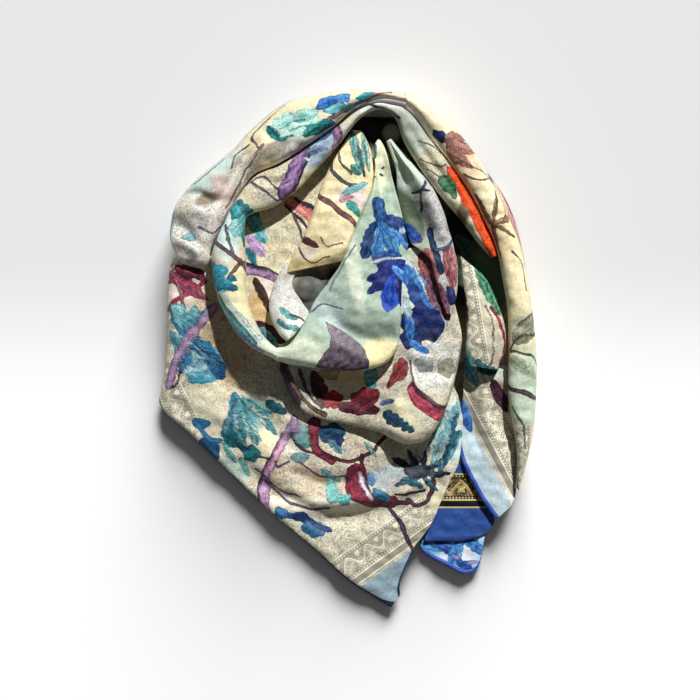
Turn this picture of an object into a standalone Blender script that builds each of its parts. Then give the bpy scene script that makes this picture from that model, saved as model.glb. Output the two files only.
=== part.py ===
"""Square silk scarf, wound into a loose collar and laid down on a flat surface.

Each stretch of cloth that shows is a thin wall of its own, lofted through cross sections. The
layers nobody sees are one low mound. +Z is up and the scarf rests on Z = 0. +Y runs from the
scarf's point towards the back of its collar. The tables are in millimetres, the model in metres.
"""

from collections import namedtuple

import bpy
import numpy as np

MM = 0.001
WALL = 1.6  # thickness of the cloth wall
HEM_GAP = 0.7  # from a sheet's edge to its hem
HEM_SIDES = 8
HEM_RINGS = 14
HEM_STEPS = 60  # sections read along a stretch to find its edge
LEAST_FLAT = 0.08  # share of a section, each side of its middle, kept between its two rolls
STEPS_PER_ARC = 10  # straight steps in which a rolled edge is first drawn

# The mound of hidden layers: where it is centred, how high it is, and how its edge is stepped.
CORE_CENTRE = (0, 30)
CORE_HEIGHT = 11
CORE_SIDES = 36
CORE_RINGS = 14

UP = np.array([0.0, 0.0, 1.0])

# One stretch of cloth. A section runs from its left edge to its right edge, seen while walking
# down the table. roll is how far in from an edge its rounding reaches, in millimetres, and
# turn is how far the cloth goes on under its widest point, in degrees (0 is a cut edge).
# along and across are the numbers of points.
Stretch = namedtuple("Stretch", "name colour roll turn along across sections")

# Columns of every table of sections:
# left edge X and Y, lowest and highest Z there; the same for the right edge; rise of the middle.
CORNER_TAIL = [
    (71, -198, 4, 4, 72, -160, 4, 4, 0),
    (84, -207, 5, 5, 90, -160, 4, 4, 1),
    (100, -215, 6, 6, 108, -160, 4, 4, 1),
    (114, -222, 6, 6, 122, -168, 4, 4, 1),
    (126, -220, 5, 5, 130, -175, 4, 4, 1),
    (131, -212, 5, 5, 134, -180, 4, 4, 0),
    (134, -200, 4, 4, 137, -183, 4, 4, 0),
]

NAVY_TAIL = [
    (75, -193, 9, 9, 84, -130, 11, 11, 0),
    (92, -193, 9, 9, 96, -120, 11, 11, 1),
    (111, -193, 9, 9, 112, -114, 11, 11, 2),
    (130, -188, 9, 9, 126, -122, 11, 11, 1),
    (142, -180, 9, 9, 136, -138, 10, 10, 0),
    (146, -172, 9, 9, 141, -155, 10, 10, 0),
]

BORDER_TAIL = [
    (152, -24, 25, 25, 114, -8, 23, 23, 1),
    (156, -44, 22, 22, 114, -40, 17, 17, 3),
    (160, -74, 19, 19, 112, -75, 14, 14, 3),
    (163, -100, 18, 18, 114, -105, 15, 15, 3),
    (165, -123, 17, 17, 129, -137, 16, 16, 2),
    (167, -142, 16, 16, 140, -155, 16, 16, 1),
    (162, -157, 16, 16, 150, -168, 16, 16, 0),
]

FRONT_PANEL = [
    (-166, 104, 2, 20, -126, 99, 20, 20, 1),
    (-180, 88, 1, 26, -112, 80, 23, 23, 2),
    (-184, 49, 1, 28, -60, 29, 23, 23, 3),
    (-184, 9, 1, 24, 20, -6, 18, 18, 3),
    (-188, -31, 1, 19, 96, -31, 17, 17, 3),
    (-191, -57, 1, 15, 112, -62, 18, 18, 2),
    (-162, -85, 1, 14, 112, -90, 20, 20, 2),
    (-131, -115, 1, 14, 109, -113, 20, 20, 2),
    (-102, -143, 1, 14, 100, -133, 19, 19, 1),
    (-76, -168, 1, 14, 91, -153, 18, 18, 1),
    (-40, -198, 1, 13, 80, -178, 16, 16, 1),
    (-5, -230, 1, 12, 63, -201, 13, 13, 0),
    (20, -247, 1, 11, 49, -234, 9, 9, 0),
    (41, -260, 2, 8, 49, -250, 7, 7, 0),
]

OUTER_SLIVER = [
    (124, 195, 2, 12, 112, 186, 12, 12, 0),
    (140, 177, 0, 13, 124, 168, 13, 13, 0),
    (152, 161, 0, 13, 133, 150, 13, 13, 0),
    (162, 142, 0, 13, 142, 130, 13, 13, 0),
    (169, 122, 0, 13, 149, 112, 13, 13, 0),
    (174, 102, 0, 11, 155, 95, 11, 11, 0),
    (177, 86, 2, 8, 162, 80, 8, 8, 0),
]

BACK_ROLL = [
    (57.5, 256, 2, 58, 58.5, 242, 38, 60, 0),
    (69, 251, 1, 59, 66, 233.5, 38, 61, 0),
    (81, 243, 2, 60, 73, 224.5, 40, 61, 0),
    (100, 227, 7, 60, 84, 209, 38, 60, 0),
    (128, 191, 16, 58, 102, 182, 36, 58, 0),
    (146, 158, 18, 57, 119, 157, 34, 57, 0),
    (159, 130, 18, 56, 133, 130, 32, 56, 0),
    (170, 103, 17, 55, 145, 103, 30, 55, 0),
    (178, 66, 10, 54, 152, 69, 28, 54, 0),
    (184, 29, 1, 52, 157, 39, 26, 52, 0),
    (187, -6, 0, 50, 158, -1, 24, 50, 0),
    (187, -41, 0, 46, 158, -44, 22, 46, 0),
    (184, -81, 0, 42, 163, -76, 20, 42, 0),
    (177, -114, 0, 36, 167, -104, 18, 36, 0),
    (170, -141, 2, 28, 167, -133, 16, 28, 0),
]

SHOULDER_ROLL = [
    (-167, 86, 29, 31, -146, 80, 29, 32, 0),
    (-174, 96, 29, 38, -140, 88, 30, 40, 0),
    (-180, 114, 22, 42, -138, 102, 32, 44, 0),
    (-176, 142, 3, 44, -127, 124, 31, 46, 0),
    (-163, 162, 0, 46, -114, 149, 30, 48, 0),
    (-145, 179, 0, 48, -104, 164, 30, 50, 0),
    (-120, 199, 0, 50, -95, 175, 30, 52, 0),
    (-95, 224, 0, 52, -70, 186, 32, 56, 0),
    (-65, 247, 0, 54, -43, 203, 34, 58, 0),
    (-32, 256, 0, 56, -16, 222, 36, 60, 0),
    (0, 260, 0, 58, 4, 239, 38, 62, 0),
    (30, 260, 0, 58, 31, 248, 40, 62, 0),
    (56, 256, 0, 58, 56.5, 243.5, 40, 60, 0),
]

COLLAR_ROLL = [
    (-77, -8, 41, 60, -74, 3, 41, 60, 0),
    (-88, -3, 39, 61, -80, 8, 39, 61, 0),
    (-100, 4, 38, 62, -88, 17, 38, 62, 0),
    (-116, 21, 36, 63, -96, 34, 36, 63, 0),
    (-130, 49, 34, 64, -102, 54, 34, 64, 0),
    (-137, 79, 33, 64, -103, 79, 33, 64, 0),
    (-136, 104, 33, 64, -104, 104, 33, 63, 0),
    (-126, 127, 33, 62, -104, 127, 33, 62, 0),
    (-113, 150, 33, 58, -98, 135, 34, 58, 0),
    (-94, 173, 33, 55, -75, 143, 34, 54, 0),
    (-69, 184, 33, 54, -52, 159, 34, 54, 0),
    (-43, 201, 33, 53, -32, 181, 34, 53, 0),
    (-17, 219, 33, 53, -12, 203, 34, 53, 0),
    (5, 237, 33, 54, 8, 228, 35, 54, 0),
    (25, 246, 34, 55, 26, 239, 36, 55, 0),
    (42, 245, 34, 55, 39, 236, 36, 55, 0),
    (55, 241, 34, 56, 47, 226, 36, 56, 0),
    (67, 229, 33, 56, 53, 208, 35, 56, 0),
    (82, 208, 32, 55, 66, 186, 34, 55, 0),
    (100, 181, 30, 54, 79, 167, 32, 54, 0),
    (116, 156, 28, 52, 95, 147, 30, 52, 0),
    (130, 131, 26, 48, 112, 127, 28, 48, 0),
    (140, 110, 26, 43, 128, 106, 28, 43, 0),
    (145, 97, 28, 38, 140, 92, 28, 38, 0),
]

INNER_BACK = [
    (4, 234, 22, 22, 46, 234, 22, 22, 0),
    (-6, 222, 22, 22, 62, 222, 21, 21, 0),
    (-30, 195, 23, 23, 84, 195, 21, 21, 0),
    (-58, 172, 24, 24, 102, 166, 21, 21, 0),
    (-88, 152, 25, 25, 118, 140, 21, 21, 0),
    (-110, 122, 26, 26, 132, 110, 21, 21, 0),
    (-112, 92, 27, 27, 140, 80, 21, 21, 0),
    (-110, 62, 28, 28, 144, 50, 20, 20, 0),
    (-102, 38, 29, 29, 144, 28, 20, 20, 0),
    (-92, 16, 30, 30, 142, 8, 20, 20, 0),
]

SWAG = [
    (-70, -22, 26, 36, -70, -13, 26, 36, 0),
    (-60, -43, 23, 38, -56, -8, 36, 36, 0),
    (-47, -61, 22, 40, -40, -2, 38, 38, 0),
    (-25, -71, 22, 41, -20, 0, 39, 39, 0),
    (0, -76, 22, 42, 5, 4, 40, 40, 0),
    (28, -83, 22, 44, 32, 12, 41, 41, 0),
    (46, -91, 22, 46, 46, 60, 42, 42, 0),
    (60, -94, 22, 47, 56, 98, 40, 43, 0),
    (75, -90, 22, 48, 69, 101, 40, 43, 0),
    (88, -75, 22, 47, 80, 96, 41, 43, 0),
    (99, -50, 22, 45, 94, 75, 42, 43, 0),
    (107, -20, 23, 43, 104, 46, 42, 43, 0),
    (112, 8, 24, 42, 110, 24, 42, 42, 0),
]

COWL_CURL = [
    (-66, 84, 30, 32, -50, 84, 29, 31, 0),
    (-76, 66, 30, 37, -57, 66, 29, 33, -1),
    (-81, 46, 30, 45, -47, 48, 31, 36, -2),
    (-78, 29, 35, 54, -41, 37, 45, 46, 0),
    (-70, 15, 39, 58, -46, 27, 52, 52, 0),
    (-63, 9, 43, 59, -57, 13, 55, 55, 0),
]

INNER_FOLD = [
    (2, 220, 26, 33, 12, 219, 26, 33, 0),
    (-9, 202, 28, 38, 20, 202, 28, 40, 0),
    (-22, 179, 30, 42, 22, 183, 30, 46, 0),
    (-31, 157, 31, 45, 19, 162, 33, 49, 0),
    (-39, 133, 33, 48, 9, 140, 36, 52, 0),
    (-48, 109, 36, 50, -2, 116, 38, 54, 0),
    (-60, 90, 38, 51, -9, 100, 40, 54, 0),
    (-69, 78, 38, 48, -12, 86, 40, 52, 0),
]

COWL = [
    (-76.2, -8.8, 41, 60, -73.2, 2.2, 41, 60, 0),
    (-62, -14, 44, 60, -60, 6, 44, 60, 0),
    (-50, -16, 45, 60, -45, 28, 46, 57, 1),
    (-34, -18, 46, 60, -31, 47, 44, 54, 2),
    (-18, -20, 46, 61, -18, 64, 44, 56, 2),
    (-2, -21, 46, 62, -6, 84, 44, 59, 1),
    (14, -20, 46, 62, 0, 110, 44, 60, 0),
    (27, -17, 46, 62, 13, 140, 42, 58, -1),
    (37, -12, 46, 62, 22, 163, 38, 54, -1),
    (43, -5, 46, 62, 25, 186, 36, 49, -1),
    (47, 2, 46, 62, 24, 202, 34, 44, -1),
    (49, 12, 46, 61, 29, 210, 34, 42, 0),
    (50, 22, 46, 60, 36, 198, 34, 43, 0),
    (51, 34, 46, 58, 42, 172, 36, 45, 0),
    (51, 48, 46, 55, 51, 138, 40, 47, 0),
    (51, 62, 46, 53, 58, 105, 45, 48, 0),
]

INNER_STRIP = [
    (36, 208, 30, 37, 41, 211, 30, 37, 0),
    (42, 192, 29, 37, 54, 196, 33, 43, 0),
    (46, 177, 28, 35, 68, 180, 35, 47, 0),
    (47, 157, 26, 34, 82, 162, 37, 50, 0),
    (50, 138, 26, 34, 93, 138, 38, 53, -2),
    (56, 117, 30, 37, 99, 117, 40, 54, -3),
    (74, 105, 45, 50, 103, 104, 41, 54, 0),
    (80, 94, 47, 53, 105, 95, 42, 54, 0),
    (83, 77, 47, 53, 107, 78, 45, 54, 0),
    (89, 55, 47, 52, 106, 56, 46, 53, 0),
    (95, 36, 47, 50, 101, 34, 46, 50, 0),
]

BORDER_FOLD = [
    (110, 93, 40, 44, 114, 90, 40, 43, 0),
    (112, 69, 38, 47, 134, 73, 34, 45, 0),
    (115, 44, 34, 48, 146, 49, 32, 46, 0),
    (116, 19, 32, 48, 152, 25, 30, 46, 0),
    (115, -1, 30, 46, 152, 0, 30, 44, 0),
    (118, -16, 29, 41, 146, -20, 30, 40, 0),
]

STRETCHES = [
    Stretch("corner_tail", "#2f9fc4", (0, 0), (0, 0), 8, 5, CORNER_TAIL),
    Stretch("navy_tail", "#32508f", (0, 0), (0, 0), 8, 5, NAVY_TAIL),
    Stretch("border_tail", "#b9d0da", (0, 0), (0, 0), 10, 6, BORDER_TAIL),
    Stretch("front_panel", "#cfc2a0", (9, 0), (80, 0), 27, 10, FRONT_PANEL),
    Stretch("outer_sliver", "#5a4f63", (6, 0), (70, 0), 9, 5, OUTER_SLIVER),
    Stretch("back_roll", "#ead7a4", (20, 20), (80, 60), 22, 9, BACK_ROLL),
    Stretch("shoulder_roll", "#d6cdb0", (22, 10), (80, 60), 21, 10, SHOULDER_ROLL),
    Stretch("collar_roll", "#c9d6cd", (20, 20), (65, 65), 38, 9, COLLAR_ROLL),
    Stretch("inner_back", "#d9cba4", (0, 0), (0, 0), 12, 8, INNER_BACK),
    Stretch("swag", "#c9b596", (12, 4), (80, 40), 18, 9, SWAG),
    Stretch("cowl_curl", "#c3c7bb", (14, 0), (75, 0), 10, 8, COWL_CURL),
    Stretch("inner_fold", "#f2dfa8", (6, 8), (70, 50), 13, 8, INNER_FOLD),
    Stretch("cowl", "#ccdccb", (8, 7), (75, 60), 20, 10, COWL),
    Stretch("inner_strip", "#bfc4bd", (8, 8), (40, 60), 13, 8, INNER_STRIP),
    Stretch("border_fold", "#c9c3ab", (12, 14), (60, 60), 9, 8, BORDER_FOLD),
]

# The rolled hems that show. Each follows one edge of a stretch, over part of the stretch's length
# given as shares of it.
Hem = namedtuple("Hem", "name colour stretch edge start end radius")

HEMS = [
    Hem("corner_hem", "#2a4a96", "corner_tail", "left", 0.0, 1.0, 2.6),
    Hem("tail_hem", "#2a4a96", "border_tail", "right", 0.5, 1.0, 2.6),
    Hem("point_hem", "#1c2a48", "front_panel", "right", 0.84, 1.0, 1.5),
]

# The mound's outline: direction from its centre in degrees, distance in millimetres.
CORE_OUTLINE = [
    (0, 152),
    (30, 128),
    (60, 160),
    (90, 188),
    (120, 188),
    (150, 162),
    (180, 158),
    (210, 150),
    (240, 150),
    (270, 165),
    (300, 142),
    (330, 135),
    (345, 152),
    (360, 152),
]

# The mound's side, from the middle of its top to the middle of its underside, as shares of its
# radius and height. Its edge is rounded into three stacked layers.
CORE_SIDE = [
    (0.00, 1.00),
    (0.55, 1.00),
    (0.86, 0.94),
    (0.90, 0.80),
    (0.90, 0.70),
    (0.94, 0.64),
    (0.95, 0.50),
    (0.95, 0.40),
    (0.98, 0.34),
    (1.00, 0.20),
    (0.98, 0.06),
    (0.95, 0.00),
    (0.60, 0.00),
    (0.30, 0.00),
    (0.00, 0.00),
]


def clear_scene():
    """Removes what the scene opens with."""
    for thing in list(bpy.data.objects):
        bpy.data.objects.remove(thing)


def silk(name, colour):
    """The material of one stretch: satin-smooth dyed cloth of one sRGB colour."""
    material = bpy.data.materials.new(name)
    material.use_nodes = True
    shader = material.node_tree.nodes["Principled BSDF"]
    shares = [int(colour[k : k + 2], 16) / 255 for k in (1, 3, 5)]
    linear = [c / 12.92 if c <= 0.04045 else ((c + 0.055) / 1.055) ** 2.4 for c in shares]
    shader.inputs["Base Color"].default_value = (*linear, 1.0)
    shader.inputs["Roughness"].default_value = 0.55
    shader.inputs["Metallic"].default_value = 0.0
    return material


def read_between(rows, count):
    """Reads a table at even steps along the smooth curve through its rows."""
    rows = np.array(rows, float)
    padded = np.vstack([2 * rows[0] - rows[1], rows, 2 * rows[-1] - rows[-2]])
    found = []
    for place in np.linspace(0, len(rows) - 1, count):
        first = min(int(place), len(rows) - 2)
        t = place - first
        a, b, c, d = padded[first : first + 4]
        bend = 2 * a - 5 * b + 4 * c - d
        twist = 3 * b - a - 3 * c + d
        found.append(0.5 * (2 * b + (c - a) * t + bend * t**2 + twist * t**3))
    return np.array(found)


def spread(points, count):
    """The same line with its points at equal distances."""
    steps = np.linalg.norm(np.diff(points, axis=0), axis=1)
    along = np.concatenate([[0], np.cumsum(steps)])
    places = np.linspace(0, along[-1], count)
    return np.column_stack([np.interp(places, along, axis) for axis in points.T])


def rolled_edge(reach, low, high, turn):
    """Part of an ellipse at one edge, from under it up to its top, as (distance in, Z)."""
    angle = np.radians(np.linspace(-turn, 90, STEPS_PER_ARC))
    inwards = reach * (1 - np.cos(angle))
    return np.column_stack([inwards, (low + high) / 2 + (high - low) / 2 * np.sin(angle)])


def cross_section(row, stretch):
    """One section's points in space: a rolled edge, the cloth between, the other rolled edge."""
    left, right = row[0:2], row[4:6]
    width = np.linalg.norm(right - left)
    reach = np.minimum(stretch.roll, width * (0.5 - LEAST_FLAT))
    first = rolled_edge(reach[0], row[2], row[3], stretch.turn[0])
    last = rolled_edge(reach[1], row[6], row[7], stretch.turn[1])
    last[:, 0] = width - last[:, 0]
    share = np.linspace(0, 1, STEPS_PER_ARC)[1:-1]
    ease = share * share * (3 - 2 * share)
    inwards = first[-1, 0] + (last[-1, 0] - first[-1, 0]) * share
    height = row[3] + (row[7] - row[3]) * ease + row[8] * np.sin(np.pi * share) ** 2
    line = np.vstack([first, np.column_stack([inwards, height]), last[::-1]])
    line = spread(line, stretch.across)
    plan = left + np.outer(line[:, 0] / width, right - left)
    return np.column_stack([plan, line[:, 1]])


def looks_up(places):
    """Whether a grid of points has the face it shows on top."""
    middle = places[:, places.shape[1] // 2]
    down = middle[-1] - middle[0]
    over = places[len(places) // 2, -1] - places[len(places) // 2, 0]
    return np.cross(over, down)[2] > 0


def place(thing, points):
    """Moves an object's vertices to points given in millimetres."""
    thing.data.vertices.foreach_set("co", (points * MM).astype(np.float32).ravel())
    thing.data.update()


def finish(thing, name, colour, collection):
    """Names an object, colours it and puts it in the scarf's collection."""
    thing.name = name
    thing.data.materials.append(silk(name, colour))
    thing.data.shade_smooth()
    for other in list(thing.users_collection):
        other.objects.unlink(thing)
    collection.objects.link(thing)


def cloth(stretch, collection):
    """One stretch of cloth: a grid laid through its sections and given its thickness."""
    rows = read_between(stretch.sections, stretch.along)
    points = np.array([cross_section(row, stretch) for row in rows])
    bpy.ops.mesh.primitive_grid_add(
        x_subdivisions=stretch.across - 1, y_subdivisions=stretch.along - 1
    )
    panel = bpy.context.object
    place(panel, points.reshape(-1, 3))
    if not looks_up(points):
        panel.data.flip_normals()
    wall = panel.modifiers.new("wall", "SOLIDIFY")
    wall.thickness = WALL * MM
    wall.offset = -1
    finish(panel, stretch.name, stretch.colour, collection)


def from_sphere(sides, rings, find):
    """A closed round body: find gives a point for each share down it and angle round it."""
    bpy.ops.mesh.primitive_uv_sphere_add(segments=sides, ring_count=rings, radius=1)
    body = bpy.context.object
    points = []
    for vertex in body.data.vertices:
        x, y, z = vertex.co
        ring = round(np.arccos(np.clip(z, -1, 1)) / np.pi * rings)
        points.append(find(ring / rings, np.arctan2(y, x)))
    place(body, np.array(points))
    return body


def hem(row, collection):
    """A rolled hem: a round tube lying just outside one edge of a stretch of cloth."""
    stretch = next(one for one in STRETCHES if one.name == row.stretch)
    sections = read_between(stretch.sections, HEM_STEPS)
    sections = sections[int(row.start * HEM_STEPS) : int(row.end * HEM_STEPS)]
    near, far = (0, 4) if row.edge == "left" else (4, 0)
    edge = sections[:, near : near + 2]
    ahead = np.gradient(edge, axis=0)
    ahead /= np.linalg.norm(ahead, axis=1, keepdims=True)
    out = np.column_stack([ahead[:, 1], -ahead[:, 0]])
    across = edge - sections[:, far : far + 2]
    out *= np.sign(np.sum(out * across, axis=1, keepdims=True))
    middle = edge + out * (row.radius + HEM_GAP)
    height = sections[:, near + 3] - WALL / 2
    middle = spread(np.column_stack([middle, height]), HEM_RINGS + 1)
    side = np.gradient(middle, axis=0)
    side = np.cross(side, (0, 0, 1))
    side /= np.linalg.norm(side, axis=1, keepdims=True)

    def find(share, angle):
        k = round(share * HEM_RINGS)
        reach = 0 if k in (0, HEM_RINGS) else row.radius
        return middle[k] + reach * (np.cos(angle) * side[k] + np.sin(angle) * UP)

    tube = from_sphere(HEM_SIDES, HEM_RINGS, find)
    finish(tube, row.name, row.colour, collection)


def core(collection):
    """The mound of hidden layers, with a flat underside."""
    degrees, distances = np.array(CORE_OUTLINE).T
    shares, heights = np.array(CORE_SIDE).T

    def find(share, angle):
        k = round(share * CORE_RINGS)
        far = shares[k] * np.interp(np.degrees(angle) % 360, degrees, distances)
        x = CORE_CENTRE[0] + far * np.cos(angle)
        y = CORE_CENTRE[1] + far * np.sin(angle)
        return x, y, CORE_HEIGHT * heights[k]

    mound = from_sphere(CORE_SIDES, CORE_RINGS, find)
    finish(mound, "hidden_layers", "#b9ad8c", collection)


def main():
    clear_scene()
    collection = bpy.data.collections.new("silk_square_scarf")
    bpy.context.scene.collection.children.link(collection)
    core(collection)
    for stretch in STRETCHES:
        cloth(stretch, collection)
    for row in HEMS:
        hem(row, collection)


main()
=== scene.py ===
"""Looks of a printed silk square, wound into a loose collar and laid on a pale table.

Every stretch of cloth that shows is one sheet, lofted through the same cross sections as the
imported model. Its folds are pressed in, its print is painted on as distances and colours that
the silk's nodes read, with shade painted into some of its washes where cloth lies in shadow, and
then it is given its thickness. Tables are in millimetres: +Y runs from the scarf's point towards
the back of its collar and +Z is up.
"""

from collections import namedtuple
from math import radians, tau

import bmesh
import bpy
import numpy as np
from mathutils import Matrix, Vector


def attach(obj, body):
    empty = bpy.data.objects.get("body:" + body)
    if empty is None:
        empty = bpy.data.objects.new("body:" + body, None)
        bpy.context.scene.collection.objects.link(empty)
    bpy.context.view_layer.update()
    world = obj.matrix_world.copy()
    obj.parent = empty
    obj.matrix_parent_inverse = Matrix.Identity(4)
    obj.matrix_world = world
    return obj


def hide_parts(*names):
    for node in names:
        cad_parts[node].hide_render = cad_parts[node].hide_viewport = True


MM = 0.001
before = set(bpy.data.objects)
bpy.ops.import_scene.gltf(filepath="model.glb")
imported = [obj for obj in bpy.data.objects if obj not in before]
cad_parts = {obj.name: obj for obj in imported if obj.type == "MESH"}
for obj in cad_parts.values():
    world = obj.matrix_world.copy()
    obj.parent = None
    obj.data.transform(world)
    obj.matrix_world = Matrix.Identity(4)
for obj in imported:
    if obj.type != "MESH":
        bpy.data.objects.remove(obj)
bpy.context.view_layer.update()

CLOTH = 0.5  # thickness of the silk and of its rolled hem's cloth
GRAIN = 1.35  # distance between a sheet's points
PLAIN_FROM = 24  # from the middle of a figured border to the plain cloth outside it
BORDER_REACH = 60  # from the middle of a figured border to the last cloth that belongs to it
NOTHING_NEAR = 99.0  # distance that stands for cloth with no border or edge near it
NO_MOTIF = 20.0  # distance that stands for cloth with no motif near it
NO_LINE = 9.0  # distance that stands for cloth with no drawn line near it
DYE_SPREAD = 2  # how far past its own edge a motif's colour is written
BRUSH = 4.6  # distance between the marks of a brush
WAVES = 7  # waves added up to make something uneven
LEAST_FLAT = 0.08  # share of a section, each side of its middle, kept between its two rolls
STEPS_PER_ARC = 14
ROWS_TO_MEASURE = 60  # rows read from a table to measure its sides
STEPS_PER_ROW = 12  # straight steps drawn for each point of a fold or a ribbon
LEAST_HEIGHT = 0.2  # from the table to the underside of the lowest cloth
HEM_STEP = 0.9  # distance between a rolled hem's rings
HEM_SIDES = 16
HEM_OUT = 0.7  # share of a rolled hem's radius that its middle lies outside the cloth's edge
HEM_INWARD = 5  # columns of points from a sheet's edge to those that show which way is inwards
STITCH = 4.2  # distance between a rolled hem's stitches
WELD = 0.02  # points nearer than this are one

# ---------------------------------------------------------------- shape of each stretch

# A section runs from a stretch's left edge to its right edge, seen while walking down the
# table. roll is how far in from an edge its rounding reaches, in millimetres, and turn is how
# far the cloth goes on under its widest point, in degrees (0 is a cut edge).
Stretch = namedtuple("Stretch", "name held rests roll turn grain sections")

# Columns of every table of sections:
# left edge X and Y, lowest and highest Z there; the same for the right edge; rise of the middle.
CORNER_TAIL = [
    (71, -198, 4, 4, 72, -160, 4, 4, 0),
    (84, -207, 5, 5, 90, -160, 4, 4, 1),
    (100, -215, 6, 6, 108, -160, 4, 4, 1),
    (114, -222, 6, 6, 122, -168, 4, 4, 1),
    (126, -220, 5, 5, 130, -175, 4, 4, 1),
    (131, -212, 5, 5, 134, -180, 4, 4, 0),
    (134, -200, 4, 4, 137, -183, 4, 4, 0),
]

NAVY_TAIL = [
    (75, -193, 9, 9, 84, -130, 11, 11, 0),
    (92, -193, 9, 9, 96, -120, 11, 11, 1),
    (111, -193, 9, 9, 112, -114, 11, 11, 2),
    (130, -188, 9, 9, 126, -122, 11, 11, 1),
    (142, -180, 9, 9, 136, -138, 10, 10, 0),
    (146, -172, 9, 9, 141, -155, 10, 10, 0),
]

BORDER_TAIL = [
    (156, -20, 25, 25, 114, -8, 23, 23, 1),
    (159, -44, 22, 22, 114, -40, 17, 17, 3),
    (164, -74, 19, 19, 112, -75, 14, 14, 3),
    (166, -100, 18, 18, 114, -105, 15, 15, 3),
    (165, -123, 17, 17, 129, -137, 16, 16, 2),
    (167, -142, 16, 16, 140, -155, 16, 16, 1),
    (162, -157, 16, 16, 150, -168, 16, 16, 0),
]

FRONT_PANEL = [
    (-166, 104, 2, 20, -126, 99, 20, 20, 1),
    (-180, 88, 1, 26, -112, 80, 23, 23, 2),
    (-184, 49, 1, 28, -60, 29, 23, 23, 3),
    (-184, 9, 1, 24, 20, -6, 18, 18, 3),
    (-188, -31, 1, 19, 96, -31, 17, 17, 3),
    (-191, -57, 1, 15, 112, -62, 18, 18, 2),
    (-162, -85, 1, 14, 112, -90, 20, 20, 2),
    (-131, -115, 1, 14, 109, -113, 20, 20, 2),
    (-102, -143, 1, 14, 100, -133, 19, 19, 1),
    (-76, -168, 1, 14, 91, -153, 18, 18, 1),
    (-40, -198, 1, 13, 80, -178, 16, 16, 1),
    (-5, -230, 1, 12, 63, -201, 13, 13, 0),
    (20, -247, 1, 11, 49, -234, 9, 9, 0),
    (41, -260, 2, 8, 49, -250, 7, 7, 0),
]

OUTER_SLIVER = [
    (124, 195, 2, 12, 112, 186, 12, 12, 0),
    (140, 177, 0, 13, 124, 168, 13, 13, 0),
    (152, 161, 0, 13, 133, 150, 13, 13, 0),
    (162, 142, 0, 13, 142, 130, 13, 13, 0),
    (169, 122, 0, 13, 149, 112, 13, 13, 0),
    (174, 102, 0, 11, 155, 95, 11, 11, 0),
    (177, 86, 2, 8, 162, 80, 8, 8, 0),
]

BACK_ROLL = [
    (54.5, 257.5, 2, 59.3, 56, 243, 38, 61, 0),
    (69, 251, 1, 59, 66, 234, 38, 61, 0),
    (81, 243, 2, 60, 73, 224.5, 40, 61, 0),
    (100, 227, 7, 60, 84, 209, 38, 60, 0),
    (128, 191, 16, 58, 102, 182, 36, 58, 0),
    (146, 158, 18, 57, 119, 157, 34, 57, 0),
    (159, 130, 18, 56, 133, 130, 32, 56, 0),
    (170, 103, 17, 55, 145, 103, 30, 55, 0),
    (178, 66, 10, 54, 152, 69, 28, 54, 0),
    (184, 29, 1, 52, 157, 39, 26, 52, 0),
    (187, -6, 0, 50, 158, -1, 24, 50, 0),
    (187, -41, 0, 46, 158, -44, 22, 46, 0),
    (184, -81, 0, 42, 163, -76, 20, 42, 0),
    (177, -114, 0, 36, 167, -104, 18, 36, 0),
    (170, -141, 2, 28, 167, -133, 16, 28, 0),
]

SHOULDER_ROLL = [
    (-167, 86, 29, 31, -146, 80, 29, 32, 0),
    (-174, 96, 29, 38, -140, 88, 30, 40, 0),
    (-180, 114, 22, 42, -138, 102, 32, 44, 0),
    (-176, 142, 3, 44, -127, 124, 31, 46, 0),
    (-163, 162, 0, 46, -114, 149, 30, 48, 0),
    (-145, 179, 0, 48, -104, 164, 30, 50, 0),
    (-120, 199, 0, 50, -95, 175, 30, 52, 0),
    (-95, 224, 0, 52, -70, 186, 32, 56, 0),
    (-65, 247, 0, 54, -43, 203, 34, 58, 0),
    (-32, 256, 0, 56, -16, 222, 36, 60, 0),
    (0, 260, 0, 58, 4, 239, 38, 62, 0),
    (30, 260, 0, 58, 31, 249, 40, 62, 0),
    (59, 255, 0, 58, 59, 245, 41, 59.5, 0),
]

COLLAR_ROLL = [
    (-71, -12, 22, 59, -69, 0, 42, 59, 0),
    (-77, -8, 22, 60, -74, 3, 41, 60, 0),
    (-88, -3, 22, 61, -80, 8, 39, 61, 0),
    (-100, 4, 24, 62, -88, 17, 38, 62, 0),
    (-116, 21, 28, 63, -96, 34, 36, 63, 0),
    (-130, 49, 34, 64, -102, 54, 34, 64, 0),
    (-137, 79, 33, 64, -103, 79, 33, 64, 0),
    (-136, 104, 33, 64, -104, 104, 33, 63, 0),
    (-126, 127, 33, 62, -104, 127, 33, 62, 0),
    (-113, 150, 33, 58, -98, 135, 34, 58, 0),
    (-94, 173, 33, 55, -75, 143, 34, 54, 0),
    (-69, 184, 33, 54, -52, 159, 34, 54, 0),
    (-43, 201, 33, 53, -32, 181, 34, 53, 0),
    (-17, 219, 33, 53, -12, 203, 34, 53, 0),
    (5, 237, 33, 54, 8, 228, 35, 54, 0),
    (25, 246, 34, 55, 26, 239, 36, 55, 0),
    (42, 244, 34, 55, 39, 236, 36, 55, 0),
    (55, 240, 34, 56, 47, 226, 36, 56, 0),
    (67, 229, 33, 56, 53, 208, 35, 56, 0),
    (82, 208, 32, 55, 66, 186, 34, 55, 0),
    (102, 182, 30, 54, 79, 167, 32, 54, 0),
    (119, 157, 28, 52, 95, 147, 30, 52, 0),
    (133, 132, 26, 49, 112, 127, 28, 50, 0),
    (143, 110, 26, 46, 128, 106, 28, 47, 0),
    (148, 94, 28, 42, 141, 92, 28, 42, 0),
]

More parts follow.
